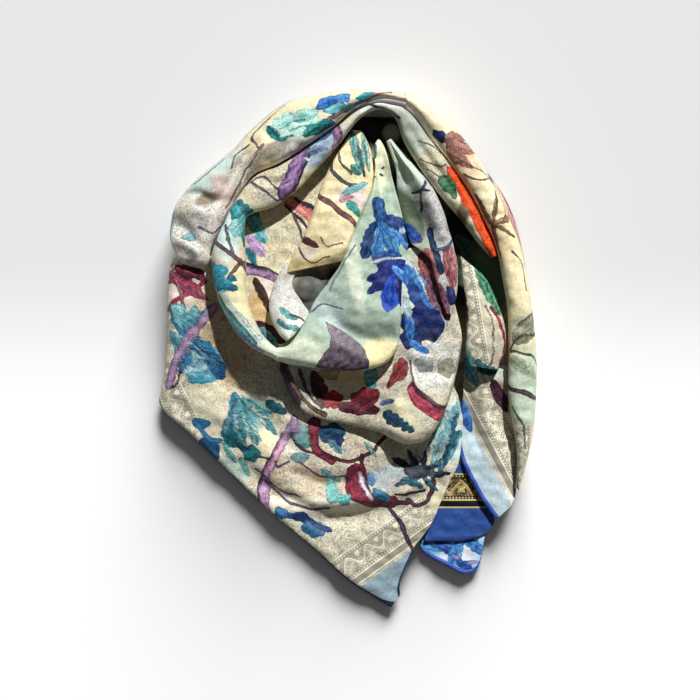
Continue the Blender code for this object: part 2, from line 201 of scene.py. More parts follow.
INNER_BACK = [
    (4, 234, 22, 22, 56, 234, 16, 16, 0),
    (-6, 222, 22, 22, 72, 222, 16, 16, 0),
    (-30, 195, 23, 23, 96, 195, 16, 16, 0),
    (-58, 172, 24, 24, 116, 166, 16, 16, 0),
    (-88, 152, 25, 25, 132, 140, 16, 16, 0),
    (-110, 122, 26, 26, 146, 110, 16, 16, 0),
    (-112, 92, 27, 27, 156, 80, 16, 16, 0),
    (-110, 62, 28, 28, 164, 50, 15, 15, 0),
    (-102, 38, 29, 29, 168, 28, 15, 15, 0),
    (-92, 16, 30, 30, 170, 4, 15, 15, 0),
    (-80, 0, 30, 30, 168, -16, 15, 15, 0),
]

SWAG = [
    (-70, -22, 26, 36, -70, -13, 26, 36, 0),
    (-60, -43, 23, 38, -56, -8, 36, 36, 0),
    (-47, -61, 20, 31, -40, -2, 38, 38, 0),
    (-25, -70, 20, 31, -20, 0, 39, 39, 0),
    (0, -75, 20, 32, 5, 4, 40, 40, 0),
    (28, -82, 20, 37, 32, 12, 41, 41, 0),
    (46, -91, 20, 44, 46, 60, 42, 42, 0),
    (60, -94, 22, 47, 56, 98, 40, 43, 0),
    (75, -90, 22, 48, 69, 101, 40, 43, 0),
    (88, -75, 22, 47, 80, 96, 41, 43, 0),
    (99, -50, 22, 45, 94, 75, 42, 43, 0),
    (107, -20, 23, 43, 104, 46, 42, 43, 0),
    (112, 8, 24, 42, 110, 24, 42, 42, 0),
]

COWL_CURL = [
    (-66, 86, 27, 33, -50, 84, 28, 31, 0),
    (-76, 66, 27, 38, -58, 66, 29, 34, -1),
    (-81, 46, 30, 45, -48, 48, 35, 39, -2),
    (-78, 29, 35, 54, -41, 37, 45, 45, 0),
    (-70, 15, 39, 58, -46, 27, 52, 52, 0),
    (-63, 9, 43, 59, -57, 13, 55, 55, 0),
]

INNER_FOLD = [
    (2, 220, 26, 33, 12, 219, 26, 33, 0),
    (-9, 202, 28, 38, 20, 202, 28, 40, 0),
    (-22, 179, 30, 42, 24, 183, 30, 46, 0),
    (-31, 157, 31, 45, 23, 162, 33, 48, 0),
    (-39, 133, 33, 48, 14, 140, 36, 50, 0),
    (-48, 109, 34, 47, 4, 114, 38, 52, 0),
    (-59, 90, 32, 41, -3, 99, 40, 50, 0),
    (-64, 77, 31, 36, -8, 88, 37, 43, 1),
]

COWL = [
    (-76.2, -8.8, 22, 60, -73.2, 2.2, 41, 60, 0),
    (-62, -14, 26, 60, -60, 6, 44, 60, 0),
    (-50, -16, 34, 60, -45, 28, 46, 57, 1),
    (-34, -18, 46, 60, -35, 49, 44, 54, 2),
    (-18, -20, 46, 61, -22, 67, 44, 56, 2),
    (-2, -21, 46, 62, -9, 86, 44, 59, 1),
    (14, -20, 46, 62, 0, 110, 44, 60, 0),
    (27, -17, 46, 62, 13, 140, 42, 58, -1),
    (37, -12, 46, 62, 22, 163, 38, 54, -1),
    (43, -5, 46, 62, 25, 186, 36, 49, -1),
    (47, 2, 46, 62, 24, 202, 34, 44, -1),
    (49, 12, 46, 61, 29, 210, 34, 42, 0),
    (50, 22, 46, 60, 36, 198, 34, 43, 0),
    (51, 34, 46, 58, 42, 172, 36, 45, 0),
    (51, 48, 46, 55, 51, 138, 40, 47, 0),
    (51, 62, 46, 53, 58, 105, 45, 48, 0),
]

INNER_STRIP = [
    (36, 208, 30, 37, 41, 211, 30, 37, 0),
    (42, 192, 29, 37, 54, 196, 33, 43, 0),
    (46, 177, 28, 35, 68, 180, 35, 47, 0),
    (47, 157, 26, 34, 82, 162, 37, 50, 0),
    (50, 138, 26, 34, 93, 138, 38, 53, -4),
    (56, 120, 29, 37, 98, 120, 40, 54, -5),
    (60, 107, 42, 47, 102, 108, 41, 54, -2),
    (69, 99, 46, 51, 104, 98, 42, 54, 0),
    (79, 90, 47, 53, 106, 90, 43, 54, 0),
    (83, 77, 47, 53, 107, 78, 45, 54, 0),
    (89, 55, 47, 52, 106, 56, 46, 53, 0),
    (95, 36, 47, 50, 101, 34, 46, 50, 0),
]

BORDER_FOLD = [
    (110, 93, 40, 44, 114, 90, 40, 43, 0),
    (112, 69, 38, 47, 134, 73, 34, 45, 0),
    (115, 44, 34, 48, 146, 49, 32, 46, 0),
    (116, 19, 32, 48, 154, 25, 30, 46, 0),
    (115, -1, 30, 46, 155, 0, 30, 44, 0),
    (118, -16, 29, 41, 147, -20, 30, 40, 0),
]

STRETCHES = [
    Stretch("corner_tail", "laid", ["table"], (0, 0), (0, 0), 1, CORNER_TAIL),
    Stretch("navy_tail", "laid", ["corner_tail"], (0, 0), (0, 0), 1, NAVY_TAIL),
    Stretch("border_tail", "laid", ["navy_tail"], (0, 0), (0, 0), 1, BORDER_TAIL),
    Stretch("front_panel", "folded", ["hidden_layers"], (9, 0), (80, 0), 1.4, FRONT_PANEL),
    Stretch("outer_sliver", "folded", ["table"], (6, 0), (70, 0), 1, OUTER_SLIVER),
    Stretch("back_roll", "folded", ["table"], (20, 20), (80, 60), 1, BACK_ROLL),
    Stretch("shoulder_roll", "folded", ["table"], (22, 10), (80, 60), 1, SHOULDER_ROLL),
    Stretch("collar_roll", "folded", ["inner_back"], (20, 20), (65, 65), 1, COLLAR_ROLL),
    Stretch("inner_back", "laid", ["hidden_layers"], (0, 0), (0, 0), 1.25, INNER_BACK),
    Stretch("swag", "draped", ["front_panel"], (12, 4), (80, 40), 1, SWAG),
    Stretch("cowl_curl", "draped", ["inner_back"], (14, 0), (75, 0), 1, COWL_CURL),
    Stretch("inner_fold", "folded", ["inner_back"], (6, 8), (70, 50), 1, INNER_FOLD),
    Stretch("cowl", "draped", ["swag"], (8, 7), (75, 60), 1, COWL),
    Stretch("inner_strip", "folded", ["swag"], (8, 8), (40, 60), 1, INNER_STRIP),
    Stretch("border_fold", "folded", ["inner_back"], (12, 14), (60, 60), 1, BORDER_FOLD),
]

# A rolled hem: a tube along part of a stretch's edge.
Hem = namedtuple("Hem", "name stretch edge start end radius finish")
HEMS = [
    Hem("corner_hem", "corner_tail", 0, 0, 1, 2.5, 0),
    Hem("tail_hem", "border_tail", -1, 0.45, 1, 2.4, 0),
    Hem("point_hem", "front_panel", -1, 0.84, 1, 1.5, 1),
]

# The mound of layers that nobody sees: where it is centred, how high it is, how far out it
# reaches in each direction (degrees, millimetres), and its side (share of reach and of height).
CORE_CENTRE = (0, 30)
CORE_HEIGHT = 11
CORE_SEGMENTS = 128
CORE_RINGS = 40
CORE_OUTLINE = [
    (0, 152),
    (30, 128),
    (60, 160),
    (90, 188),
    (120, 188),
    (150, 162),
    (180, 158),
    (210, 150),
    (240, 150),
    (270, 165),
    (300, 142),
    (330, 135),
    (345, 152),
    (360, 152),
]
CORE_SIDE = [
    (0.00, 1.00),
    (0.55, 1.00),
    (0.86, 0.94),
    (0.90, 0.80),
    (0.90, 0.70),
    (0.94, 0.64),
    (0.95, 0.50),
    (0.95, 0.40),
    (0.98, 0.34),
    (1.00, 0.20),
    (0.98, 0.06),
    (0.95, 0.00),
    (0.60, 0.00),
    (0.30, 0.00),
    (0.00, 0.00),
]

# Soft folds pressed into the sheets: the points that a fold runs through, how wide and how high
# it is (below zero for a valley).
Fold = namedtuple("Fold", "width height run")

# How uneven all the cloth lies: the height, size and random seed of each kind of ripple.
UNEVEN = [(0.6, 34, 11), (0.45, 15, 12), (0.12, 7, 13)]

FOLDS = {
    "shoulder_roll": [
        Fold(4, 6, [(-86, 204), (-100, 180), (-116, 152), (-134, 112)]),
        Fold(5, -5, [(-94, 208), (-110, 182), (-127, 152), (-146, 114)]),
        Fold(9, -4, [(-100, 200), (-116, 172), (-132, 146)]),
        Fold(5, -6, [(-174, 152), (-154, 156), (-134, 148), (-116, 150)]),
        Fold(7, 4, [(-180, 142), (-158, 140), (-134, 128)]),
        Fold(6, -5, [(-182, 128), (-164, 120), (-146, 100)]),
        Fold(6, 4, [(-176, 108), (-160, 104), (-150, 92)]),
        Fold(5, -3, [(-112, 214), (-126, 188), (-146, 172)]),
    ],
    "front_panel": [
        Fold(11, -7, [(-45, -172), (0, -170), (50, -158)]),
        Fold(9, 5, [(-35, -150), (10, -148), (48, -142)]),
        Fold(8, -6, [(92, -104), (62, -112), (30, -118)]),
        Fold(6, 4, [(96, -122), (70, -134), (48, -146)]),
        Fold(6, -4, [(92, -108), (88, -140), (80, -170)]),
        Fold(7, -5, [(36, -82), (64, -110), (90, -136)]),
        Fold(7, 4, [(104, -50), (98, -80), (92, -104)]),
        Fold(18, 7, [(-150, -40), (-110, -80), (-60, -125)]),
        Fold(11, -6, [(-128, -20), (-92, -62), (-58, -100)]),
        Fold(8, -6, [(-60, -120), (-20, -136), (24, -124)]),
        Fold(8, 5, [(-70, -136), (-20, -154), (30, -146)]),
        Fold(9, -5, [(-110, -118), (-80, -140), (-50, -152)]),
        Fold(10, -3, [(-178, 70), (-150, 62), (-130, 40)]),
    ],
    "swag": [
        Fold(8, -6, [(-52, -28), (-25, -46), (5, -52)]),
        Fold(8, 3, [(60, -30), (78, -52), (96, -58)]),
        Fold(7, -5, [(52, -8), (78, -22), (104, -20)]),
        Fold(7, 2, [(30, -20), (45, -50), (52, -80)]),
    ],
    "cowl": [
        Fold(10, -8, [(-22, 44), (-6, 20), (22, 10), (48, 12)]),
        Fold(9, 3, [(0, 80), (8, 52), (28, 34), (50, 34)]),
        Fold(4, -3, [(34, 200), (33, 170), (30, 140)]),
    ],
    "collar_roll": [
        Fold(4, -3, [(-96, 172), (-72, 166), (-46, 186), (-18, 208)]),
        Fold(4, -3, [(62, 214), (74, 196), (92, 172), (112, 146)]),
    ],
    "inner_fold": [
        Fold(4, -3, [(9, 212), (14, 190), (10, 165)]),
        Fold(6, -2, [(-52, 104), (-32, 100), (-8, 108)]),
    ],
    "inner_back": [
        Fold(15, 9, [(-28, 70), (-44, 63), (-44, 48)]),
        Fold(6, 4, [(-104, 118), (-92, 90), (-94, 60), (-98, 30)]),
        Fold(8, 5, [(100, 110), (124, 84), (140, 50)]),
        Fold(7, -5, [(46, 200), (56, 160), (66, 120)]),
    ],
    "back_roll": [
        Fold(4, -2, [(120, 170), (132, 176), (142, 168)]),
        Fold(4, -2, [(134, 128), (148, 134), (160, 126)]),
        Fold(5, -2, [(158, 30), (170, 22), (186, 26)]),
    ],
    "border_tail": [
        Fold(6, 3, [(132, -30), (138, -70), (150, -110), (158, -140)]),
        Fold(5, -3, [(120, -30), (122, -70), (134, -110)]),
    ],
}


def read_between(rows, count):
    """Reads a table at even steps along the smooth curve through its rows."""
    rows = np.array(rows, float)
    padded = np.vstack([2 * rows[0] - rows[1], rows, 2 * rows[-1] - rows[-2]])
    places = np.linspace(0, len(rows) - 1, count)
    first = np.minimum(places.astype(int), len(rows) - 2)
    t = (places - first)[:, None]
    a, b, c, d = (padded[first + k] for k in range(4))
    bend = 2 * a - 5 * b + 4 * c - d
    twist = 3 * b - a - 3 * c + d
    return 0.5 * (2 * b + (c - a) * t + bend * t**2 + twist * t**3)


def lengths(points):
    """Distance along a line at each of its points."""
    steps = np.linalg.norm(np.diff(points, axis=0), axis=1)
    return np.concatenate([[0], np.cumsum(steps)])


def rolled_edge(reach, low, high, turn):
    """Part of an ellipse at one edge, from under it up to its top, as (distance in, Z)."""
    angle = np.radians(np.linspace(-turn, 90, STEPS_PER_ARC))
    inwards = reach * (1 - np.cos(angle))
    return np.column_stack([inwards, (low + high) / 2 + (high - low) / 2 * np.sin(angle)])


def section_line(row, stretch):
    """One section as (distance in from its left edge, Z), and the length along it to its crown."""
    width = np.linalg.norm(row[4:6] - row[0:2])
    reach = np.minimum(stretch.roll, width * (0.5 - LEAST_FLAT))
    first = rolled_edge(reach[0], row[2], row[3], stretch.turn[0])
    last = rolled_edge(reach[1], row[6], row[7], stretch.turn[1])
    last[:, 0] = width - last[:, 0]
    share = np.linspace(0, 1, STEPS_PER_ARC)[1:-1]
    ease = share * share * (3 - 2 * share)
    inwards = first[-1, 0] + (last[-1, 0] - first[-1, 0]) * share
    height = row[3] + (row[7] - row[3]) * ease + row[8] * np.sin(np.pi * share) ** 2
    line = np.vstack([first, np.column_stack([inwards, height]), last[::-1]])
    along = lengths(line)
    crown = (along[len(first) - 1] + along[-len(last)]) / 2
    return line, along, crown


def loft(stretch):
    """A stretch's points in space, row by row, and where each lies on the cloth laid out flat."""
    grain = GRAIN * stretch.grain
    rows = read_between(stretch.sections, ROWS_TO_MEASURE)
    sides = [lengths(rows[:, k : k + 2])[-1] for k in (0, 4)]
    rows = read_between(stretch.sections, int(max(sides) / grain) + 2)
    lines = [section_line(row, stretch) for row in rows]
    across = int(max(along[-1] for _, along, _ in lines) / grain) + 2
    points, flat = [], []
    for row, (line, along, crown) in zip(rows, lines):
        left, right = row[0:2], row[4:6]
        over = (right - left) / np.linalg.norm(right - left)
        places = np.linspace(0, along[-1], across)
        inwards = np.interp(places, along, line[:, 0])
        height = np.interp(places, along, line[:, 1])
        points.append(np.column_stack([left + np.outer(inwards, over), height]))
        crown_in = np.interp(crown, along, line[:, 0])
        flat.append(left + np.outer(crown_in + places - crown, over))
    return np.array(points), np.array(flat)


def from_run(points, run):
    """Distance from a smooth line through some points, and the share of the way along it."""
    run = read_between(run, STEPS_PER_ROW * len(run))
    best = np.full(len(points), np.inf)
    share = np.zeros(len(points))
    pieces = len(run) - 1
    for k in range(pieces):
        step = run[k + 1] - run[k]
        t = np.clip((points - run[k]) @ step / (step @ step), 0, 1)
        far = np.linalg.norm(points - run[k] - t[:, None] * step, axis=1)
        nearer = far < best
        best[nearer] = far[nearer]
        share[nearer] = (k + t[nearer]) / pieces
    return best, share


def press_folds(name, points):
    """Raises and lowers a sheet's points along its soft folds, and lets the cloth lie uneven."""
    at = points[:, :2]
    for fold in FOLDS.get(name, []):
        far, share = from_run(at, fold.run)
        fade = np.sin(np.pi * np.clip(share * 0.92 + 0.04, 0, 1)) ** 0.6
        points[:, 2] += fold.height * fade * np.exp(-((far / fold.width) ** 2))
    points[:, 2] += sum(height * uneven(at, size, seed) for height, size, seed in UNEVEN)
    points[:, 2] = np.maximum(points[:, 2], CLOTH + LEAST_HEIGHT)
    return points


# ---------------------------------------------------------------- the print

# Each stretch's print is a list of rows, and where motifs overlap the later one is on top. A few
# rows are painted shade rather than print, standing for cloth that lies in shadow; each is marked.
# The ground's colour, and how much of the scrollwork is printed on it, from 0 to 1.
Ground = namedtuple("Ground", "colour scroll")
# A plain edge on the left: its width, the Y that it lies below, and its colour.
Edge = namedtuple("Edge", "width below colour")
# A wash is a soft patch of ground colour: middle, reach along and across, turn, colour, and how
# much of the scrollwork is printed there. Most washes are print; the marked ones are painted shade.
Wash = namedtuple("Wash", "x y along across turn colour scroll")
# A blot is one rounded petal or patch of dye with a wavy edge: middle, reaches, turn, dyes.
Blot = namedtuple("Blot", "x y along across turn light dark")
# A leaf or petal from its stalk to its tip, with its width and how deeply its edge is cut.
Leaf = namedtuple("Leaf", "x0 y0 x1 y1 width cut light dark")
# A stem, ribbon or stroke through some points, with its width at its start and at its end.
Ribbon = namedtuple("Ribbon", "start end light dark run")
# A patch of dye of any outline, darker towards its foot.
Patch = namedtuple("Patch", "light dark outline")
# A figured border: a point on its middle line, the direction it runs in, its half length, and
# the plain colour on its outer side (None where the border lies in the ground).
Border = namedtuple("Border", "x y direction half plain")

PRINT = {}
PRINT["shoulder_roll"] = [
    Ground("#f4eee0", 0.85),
    Wash(-150, 140, 40, 40, 0, "#efeae0", 1.0),
    Wash(-140, 176, 36, 12, 38, "#cfe2d8", 0.3),
    Wash(-190, 128, 12, 24, 0, "#4f9aa0", 0.2),
    Wash(-88, 200, 16, 34, 30, "#f3e6bc", 0.15),
    Wash(-122, 150, 8, 34, 28, "#e6d2c8", 0.3),
    # painted shade: this brown wash darkens the crease that runs across the shoulder roll
    Wash(-143, 150, 13, 6, 20, "#97866e", 1.0),
    Wash(-166, 142, 10, 12, 0, "#dcd8c4", 0.9),
    Wash(-40, 244, 66, 18, 10, "#f0e6bf", 0.25),
    Wash(-80, 196, 26, 8, 30, "#a39c8a", 0.9),
    Wash(44, 252, 20, 12, 0, "#e6d6bd", 0.15),
    Blot(-62, 217, 16, 8, 20, "#4cc8bc", "#107074"),
    Blot(-52, 224, 22, 12, 22, "#f4fff8", "#c0f4e0"),
    Blot(-66, 228, 12, 7, 30, "#e4fcf2", "#9ce4d4"),
    Blot(-44, 233, 13, 6, 20, "#d4f8ec", "#74d0c0"),
    Ribbon(1.6, 1.6, "#4cb8ac", "#1c8c88", [(-66, 220), (-56, 228), (-44, 228)]),
    Ribbon(1.6, 1.6, "#4cb8ac", "#1c8c88", [(-60, 216), (-48, 222), (-38, 220)]),
    Blot(-34, 218, 12, 6, 20, "#3fb0a6", "#0a5258"),
    Blot(-22, 222, 9, 5, 10, "#2fa0a0", "#084a54"),
    Leaf(-70, 210, -84, 222, 9, 0.3, "#2aa59c", "#0a5258"),
    Blot(-22, 246, 11, 7, 20, "#4f9fe8", "#144fa4"),
    Blot(-8, 250, 9, 6, 0, "#6cb8f0", "#1a5cb4"),
    Blot(-14, 238, 11, 5, 10, "#a6ecec", "#1fa2b0"),
    Blot(0, 238, 9, 5, 10, "#5fd4dc", "#13859c"),
    Leaf(6, 248, 26, 256, 8, 0.3, "#52c8d0", "#1287a0"),
    Leaf(4, 240, 22, 246, 7, 0.3, "#4fa8dc", "#1668a8"),
    Ribbon(3, 3, "#b98f8e", "#6c4450", [(40, 256), (18, 247), (2, 240), (-20, 228)]),
    Ribbon(2, 2, "#a98c86", "#6e5652", [(-60, 262), (-90, 240), (-112, 218)]),
    Ribbon(2, 2, "#a98c86", "#6e5652", [(-86, 204), (-104, 176), (-122, 140)]),
    Ribbon(1.4, 1.4, "#8a857c", "#5f5a56", [(-66, 250), (-84, 232), (-98, 214), (-92, 200)]),
    Ribbon(1.4, 1.4, "#8a857c", "#5f5a56", [(-100, 204), (-112, 196), (-118, 182)]),
    Ribbon(1.4, 1.4, "#9fc0bc", "#5f8a8a", [(-130, 192), (-144, 178), (-160, 168)]),
    Blot(-194, 124, 6, 14, 0, "#3fa3b8", "#0f5f80"),
    Blot(-160, 112, 8, 4, 0, "#9cc8c8", "#6c9ca4"),
    Ribbon(1.4, 1.4, "#8f98a0", "#5f6670", [(-150, 122), (-136, 116), (-124, 124)]),
]
PRINT["front_panel"] = [
    Ground("#ece4ca", 1.0),
    Edge(14.5, -58, "#1f2c4c"),
    Wash(-165, 60, 18, 32, 0, "#e8dccc", 0.3),
    # painted shade: a warm brown wash where the collar ring's shadow falls on the front panel
    Wash(-130, 10, 34, 56, 0, "#d8bf98", 0.95),
    Wash(-190, -50, 9, 24, 0, "#b5c6cc", 0.0),
    Wash(-140, -56, 18, 30, 0, "#f3ebca", 0.7),
    Wash(-98, -66, 20, 20, 0, "#8fb5a8", 0.7),
    Wash(-85, -95, 14, 18, 0, "#f2e9c4", 0.3),
    Wash(-118, -122, 18, 12, -40, "#bfcfc0", 0.7),
    Wash(-45, -130, 44, 24, -10, "#e3d3b8", 1.0),
    Wash(10, -92, 18, 14, 0, "#e2d8bd", 1.0),
    Wash(40, -128, 22, 14, 0, "#b4c0c0", 0.9),
    Wash(-30, -156, 60, 8, -4, "#f0e8d2", 0.2),
    Wash(96, -75, 18, 44, 20, "#cfdfd6", 0.1),
    Wash(82, -165, 14, 30, -20, "#e9e1bd", 0.3),
    Border(20, -202, 36, 75, "#93a9b4"),
    Border(-174, -56, -64, 46, None),
    Leaf(-182, 20, -150, -30, 12, 0.3, "#8cc8d0", "#3a88a4"),
    Ribbon(1.6, 1.2, "#d8c8d8", "#a088a4", [(-146, 36), (-158, 16), (-172, -8), (-180, -28)]),
    Leaf(-186, 78, -142, 50, 14, 0.3, "#b4506c", "#5a1c30"),
    Blot(-160, 78, 16, 7, -20, "#8a3448", "#3c0f1e"),
    Ribbon(4, 3, "#c8405c", "#7d1c34", [(-186, 40), (-172, 52), (-158, 58), (-144, 70)]),
    Ribbon(4, 3, "#c8405c", "#7d1c34", [(-186, 68), (-172, 70), (-156, 64)]),
    Ribbon(2, 2, "#b8788c", "#6c3c50", [(-180, 84), (-172, 62), (-166, 40)]),
    Blot(-172, 34, 9, 14, 20, "#a6dcd8", "#4a9cac"),
    Blot(-158, 30, 8, 14, -20, "#8ed0cd", "#1f6f8a"),
    Leaf(-156, 20, -138, 44, 12, 0.3, "#2f86a8", "#0f4468"),
    Leaf(-180, 16, -160, 8, 7, 0.2, "#a8d4d0", "#4a94a4"),
    Ribbon(3, 3, "#4a8cb0", "#134a7c", [(-182, 44), (-176, 26), (-166, 16), (-152, 14)]),
    Blot(-150, -10, 22, 17, 0, "#cfe6e2", "#7ab4c0"),
    Blot(-148, 2, 13, 8, -20, "#3f9cc0", "#0e4a7c"),
    Blot(-134, -16, 8, 14, 30, "#3488b0", "#0c3c6c"),
    Blot(-165, -12, 5, 12, -20, "#4fa8cc", "#1a6090"),
    Blot(-148, -28, 14, 6, 0, "#5fb8cc", "#2a88a4"),
    Ribbon(2, 2, "#4f9cb8", "#1f6488", [(-158, -16), (-148, -10), (-140, -16), (-148, -22)]),
    Leaf(-162, 8, -140, -4, 4, 0.3, "#c4e8ec", "#6cb0c8"),
    Leaf(-158, 4, -132, -16, 3.4, 0.3, "#a8d8e4", "#4c98bc"),
    Ribbon(1.6, 1, "#143c6c", "#0c2448", [(-160, 8), (-144, -2), (-132, -8), (-130, -22)]),
    Ribbon(1.4, 1, "#d8eeec", "#a4ccd4", [(-164, -16), (-154, -26), (-140, -26)]),
    Ribbon(9, 8, "#c9a8c6", "#6c4c72",
           [(-136, 42), (-154, 22), (-166, 6), (-176, -14), (-183, -36)]),
    Ribbon(2, 1.5, "#6c4c62", "#3a2438", [(-160, 2), (-169, -16), (-174, -34), (-180, -38)]),
    Blot(-150, -74, 8, 5, 0, "#4f9cc4", "#175080"),
    Blot(-142, -98, 13, 8, -45, "#2a6a94", "#0a2c54"),
    Ribbon(5, 4, "#3488b0", "#0f4470", [(-154, -72), (-149, -82), (-140, -90), (-132, -92)]),
    Leaf(-104, -52, -92, -96, 9, 0.4, "#8cd0cc", "#247c88"),
    Leaf(-102, -50, -74, -86, 9, 0.4, "#6cb8b8", "#146070"),
    Leaf(-112, -46, -130, -88, 8, 0.4, "#7cc4d0", "#1c6c84"),
    Leaf(-116, -42, -121, -96, 9, 0.3, "#5cacc0", "#14607c"),
    Leaf(-108, -50, -108, -104, 9, 0.4, "#4ca4ac", "#0c5464"),
    Ribbon(1.4, 1, "#8cc8c8", "#4f9ca4", [(-112, -50), (-110, -74), (-110, -98)]),
    Ribbon(1.2, 1, "#8cc8c8", "#4f9ca4", [(-104, -54), (-98, -72), (-94, -90)]),
    Blot(-119, -88, 10, 10, 0, "#2a8a94", "#0a4a5c"),
    Blot(-106, -58, 7, 9, 20, "#6cb4b0", "#2a7c84"),
    Leaf(-104, -60, -78, -64, 8, 0.4, "#7cbcb4", "#2f7480"),
    Leaf(-100, -56, -84, -76, 4, 0.4, "#f4f0d4", "#b4d4bc"),
    Leaf(-106, -62, -99, -90, 4, 0.4, "#e4f0d4", "#8cc4b4"),
    Leaf(-117, -56, -115, -84, 3.4, 0.4, "#cfeae0", "#74b4b8"),
    Leaf(-94, -66, -80, -68, 3.4, 0.4, "#eef0d4", "#b4d0b8"),
    Leaf(-124, -66, -126, -84, 3, 0.4, "#b8e0dc", "#5ca0ac"),
    Leaf(-100, -74, -88, -92, 3.4, 0.4, "#dcecd0", "#8cbcac"),
    Leaf(-112, -84, -104, -100, 3, 0.3, "#9cd8c4", "#3c9488"),
    Ribbon(1.2, 1, "#2c7480", "#0c4450", [(-110, -52), (-96, -64), (-82, -70)]),
    Ribbon(1.2, 1, "#2c7480", "#0c4450", [(-108, -52), (-102, -74), (-98, -92)]),
    Ribbon(1.2, 1, "#2c7480", "#0c4450", [(-114, -50), (-120, -68), (-118, -90)]),
    Leaf(-84, -52, -64, -64, 12, 0.3, "#2f747c", "#0c3c44"),
    Blot(-99, -104, 9, 8, 0, "#2fa09c", "#0c5c66"),
    Ribbon(3, 3, "#2c4c74", "#0f2244", [(-112, -96), (-106, -100), (-98, -95)]),
    Leaf(-128, -94, -114, -114, 7, 0.4, "#9cd0c4", "#4c9498"),
    Leaf(-111, -108, -100, -128, 7, 0.4, "#a4d0bc", "#549c94"),
    Ribbon(1.4, 1, "#7c6272", "#4a3546", [(-96, -107), (-88, -108), (-80, -109)]),
    Ribbon(8, 10, "#dcb4d2", "#7c5484",
           [(-56, -70), (-66, -90), (-78, -112), (-86, -132), (-86, -166)]),
    Ribbon(2, 3, "#5c3c5c", "#38203c", [(-68, -84), (-80, -108), (-90, -130), (-92, -160)]),
    Ribbon(5, 4, "#f0b4c0", "#c88aa0", [(-70, -98), (-76, -110), (-80, -120)]),
    Ribbon(2, 2, "#6a5068", "#41304a", [(-62, -112), (-72, -118), (-76, -112)]),
    Ribbon(2, 2, "#8a6a86", "#543c5c", [(-86, -132), (-66, -150), (-40, -160), (-20, -158)]),
    Blot(-48, -86, 9, 12, 10, "#a4ccc4", "#4f948c"),
    Blot(-56, -78, 7, 7, 0, "#bca4c0", "#7c6488"),
    Ribbon(2, 2, "#5c4a66", "#33283f", [(-58, -82), (-54, -94), (-46, -101), (-36, -103)]),
    Blot(-50, -108, 9, 5, 0, "#8ab0ac", "#5c8486"),
    Ribbon(11, 8, "#a84052", "#3c101e", [(-36, -72), (-36, -92), (-30, -104), (-18, -111)]),
    Ribbon(3, 3, "#6c2838", "#280a14",
           [(-30, -104), (-10, -110), (2, -111), (16, -106), (28, -96), (40, -80)]),
    Blot(-18, -84, 13, 10, 0, "#2f6c94", "#0c2440"),
    Blot(-12, -92, 6, 6, 0, "#1f4c80", "#0a1c44"),
    Leaf(-22, -90, -8, -104, 8, 0.4, "#7aa8ac", "#3c7480"),
    Ribbon(4, 3, "#5a2a3c", "#2a1420", [(13, -106), (13, -120), (15, -134), (22, -150)]),
    Ribbon(20, 10, "#a83c54", "#4c1424",
           [(6, -124), (4, -136), (10, -147), (22, -151), (44, -153)]),
    Ribbon(4, 3, "#f4eaf2", "#b49cb8", [(10, -124), (14, -138), (24, -151)]),
    Blot(21, -130, 5, 7, 0, "#7ca4c8", "#3c6c9c"),
    Blot(31, -146, 9, 5, -30, "#4f94b4", "#1c5878"),
    Ribbon(5, 4, "#6e3c4a", "#2c141e", [(26, -153), (44, -155), (60, -152)]),
    Ribbon(4, 3, "#6e3c4a", "#341824",
           [(58, -150), (68, -157), (78, -150), (84, -134), (82, -120)]),
    Ribbon(2, 1.4, "#4a3c48", "#241c26", [(46, -146), (60, -144), (76, -140)]),
    Leaf(72, -124, 42, -108, 6, 0.4, "#3c6478", "#0a1824"),
    Leaf(72, -124, 58, -100, 6, 0.4, "#5c8c9c", "#14303c"),
    Leaf(72, -124, 76, -100, 6, 0.4, "#2c5468", "#060f18"),
    Leaf(72, -126, 96, -108, 7, 0.4, "#4c7c90", "#0c1c28"),
    Leaf(72, -126, 102, -124, 6, 0.4, "#2c5064", "#060f18"),
    Leaf(72, -126, 88, -142, 6, 0.4, "#5c94a4", "#143440"),
    Leaf(72, -126, 44, -136, 7, 0.4, "#3c6c80", "#0a1c28"),
    Blot(68, -122, 13, 7, -5, "#1c3444", "#04080e"),
    Leaf(52, -130, 74, -138, 9, 0.5, "#5c98a8", "#1f4c5c"),
    Leaf(44, -110, 56, -118, 6, 0.3, "#34404c", "#10161c"),
    Leaf(14, -92, 26, -108, 5, 0.4, "#a4c4bc", "#6c9c98"),
    Leaf(-30, -120, -10, -132, 9, 0.4, "#9cc8c0", "#5c9c98"),
    Ribbon(1.6, 1, "#a86c7c", "#6c3c50", [(-52, -112), (-30, -126), (-6, -128), (12, -134)]),
    Ribbon(1.4, 1, "#7c6c84", "#4c4058", [(-96, -118), (-72, -140), (-50, -148)]),
    Blot(-18, -142, 6, 12, 10, "#a8dcd4", "#6cb4b0"),
    Blot(-6, -150, 8, 6, 20, "#8cd4cc", "#3c9c9c"),
    Blot(-68, -164, 8, 5, -20, "#4f94bc", "#1c5888"),
    Blot(-52, -168, 12, 5, -10, "#2c6098", "#0c2454"),
    Blot(-36, -180, 12, 9, -30, "#3c8cac", "#134c74"),
    Ribbon(4, 5, "#264c90", "#0c1c48", [(-62, -168), (-46, -168), (-34, -176), (-22, -181)]),
    Leaf(112, -48, 82, -116, 12, 0.2, "#d3ece6", "#4a94a4"),
    Leaf(112, -80, 88, -124, 9, 0.2, "#6fb4c4", "#0f4c64"),
    Leaf(98, -60, 76, -106, 7, 0.2, "#e9f0dc", "#5ca4a8"),
    Leaf(108, -62, 94, -118, 6, 0.2, "#3c8498", "#0c3c50"),
    Ribbon(3, 4.4, "#5c4a62", "#1f1828", [(38, -157), (50, -172), (58, -190), (68, -208)]),
]
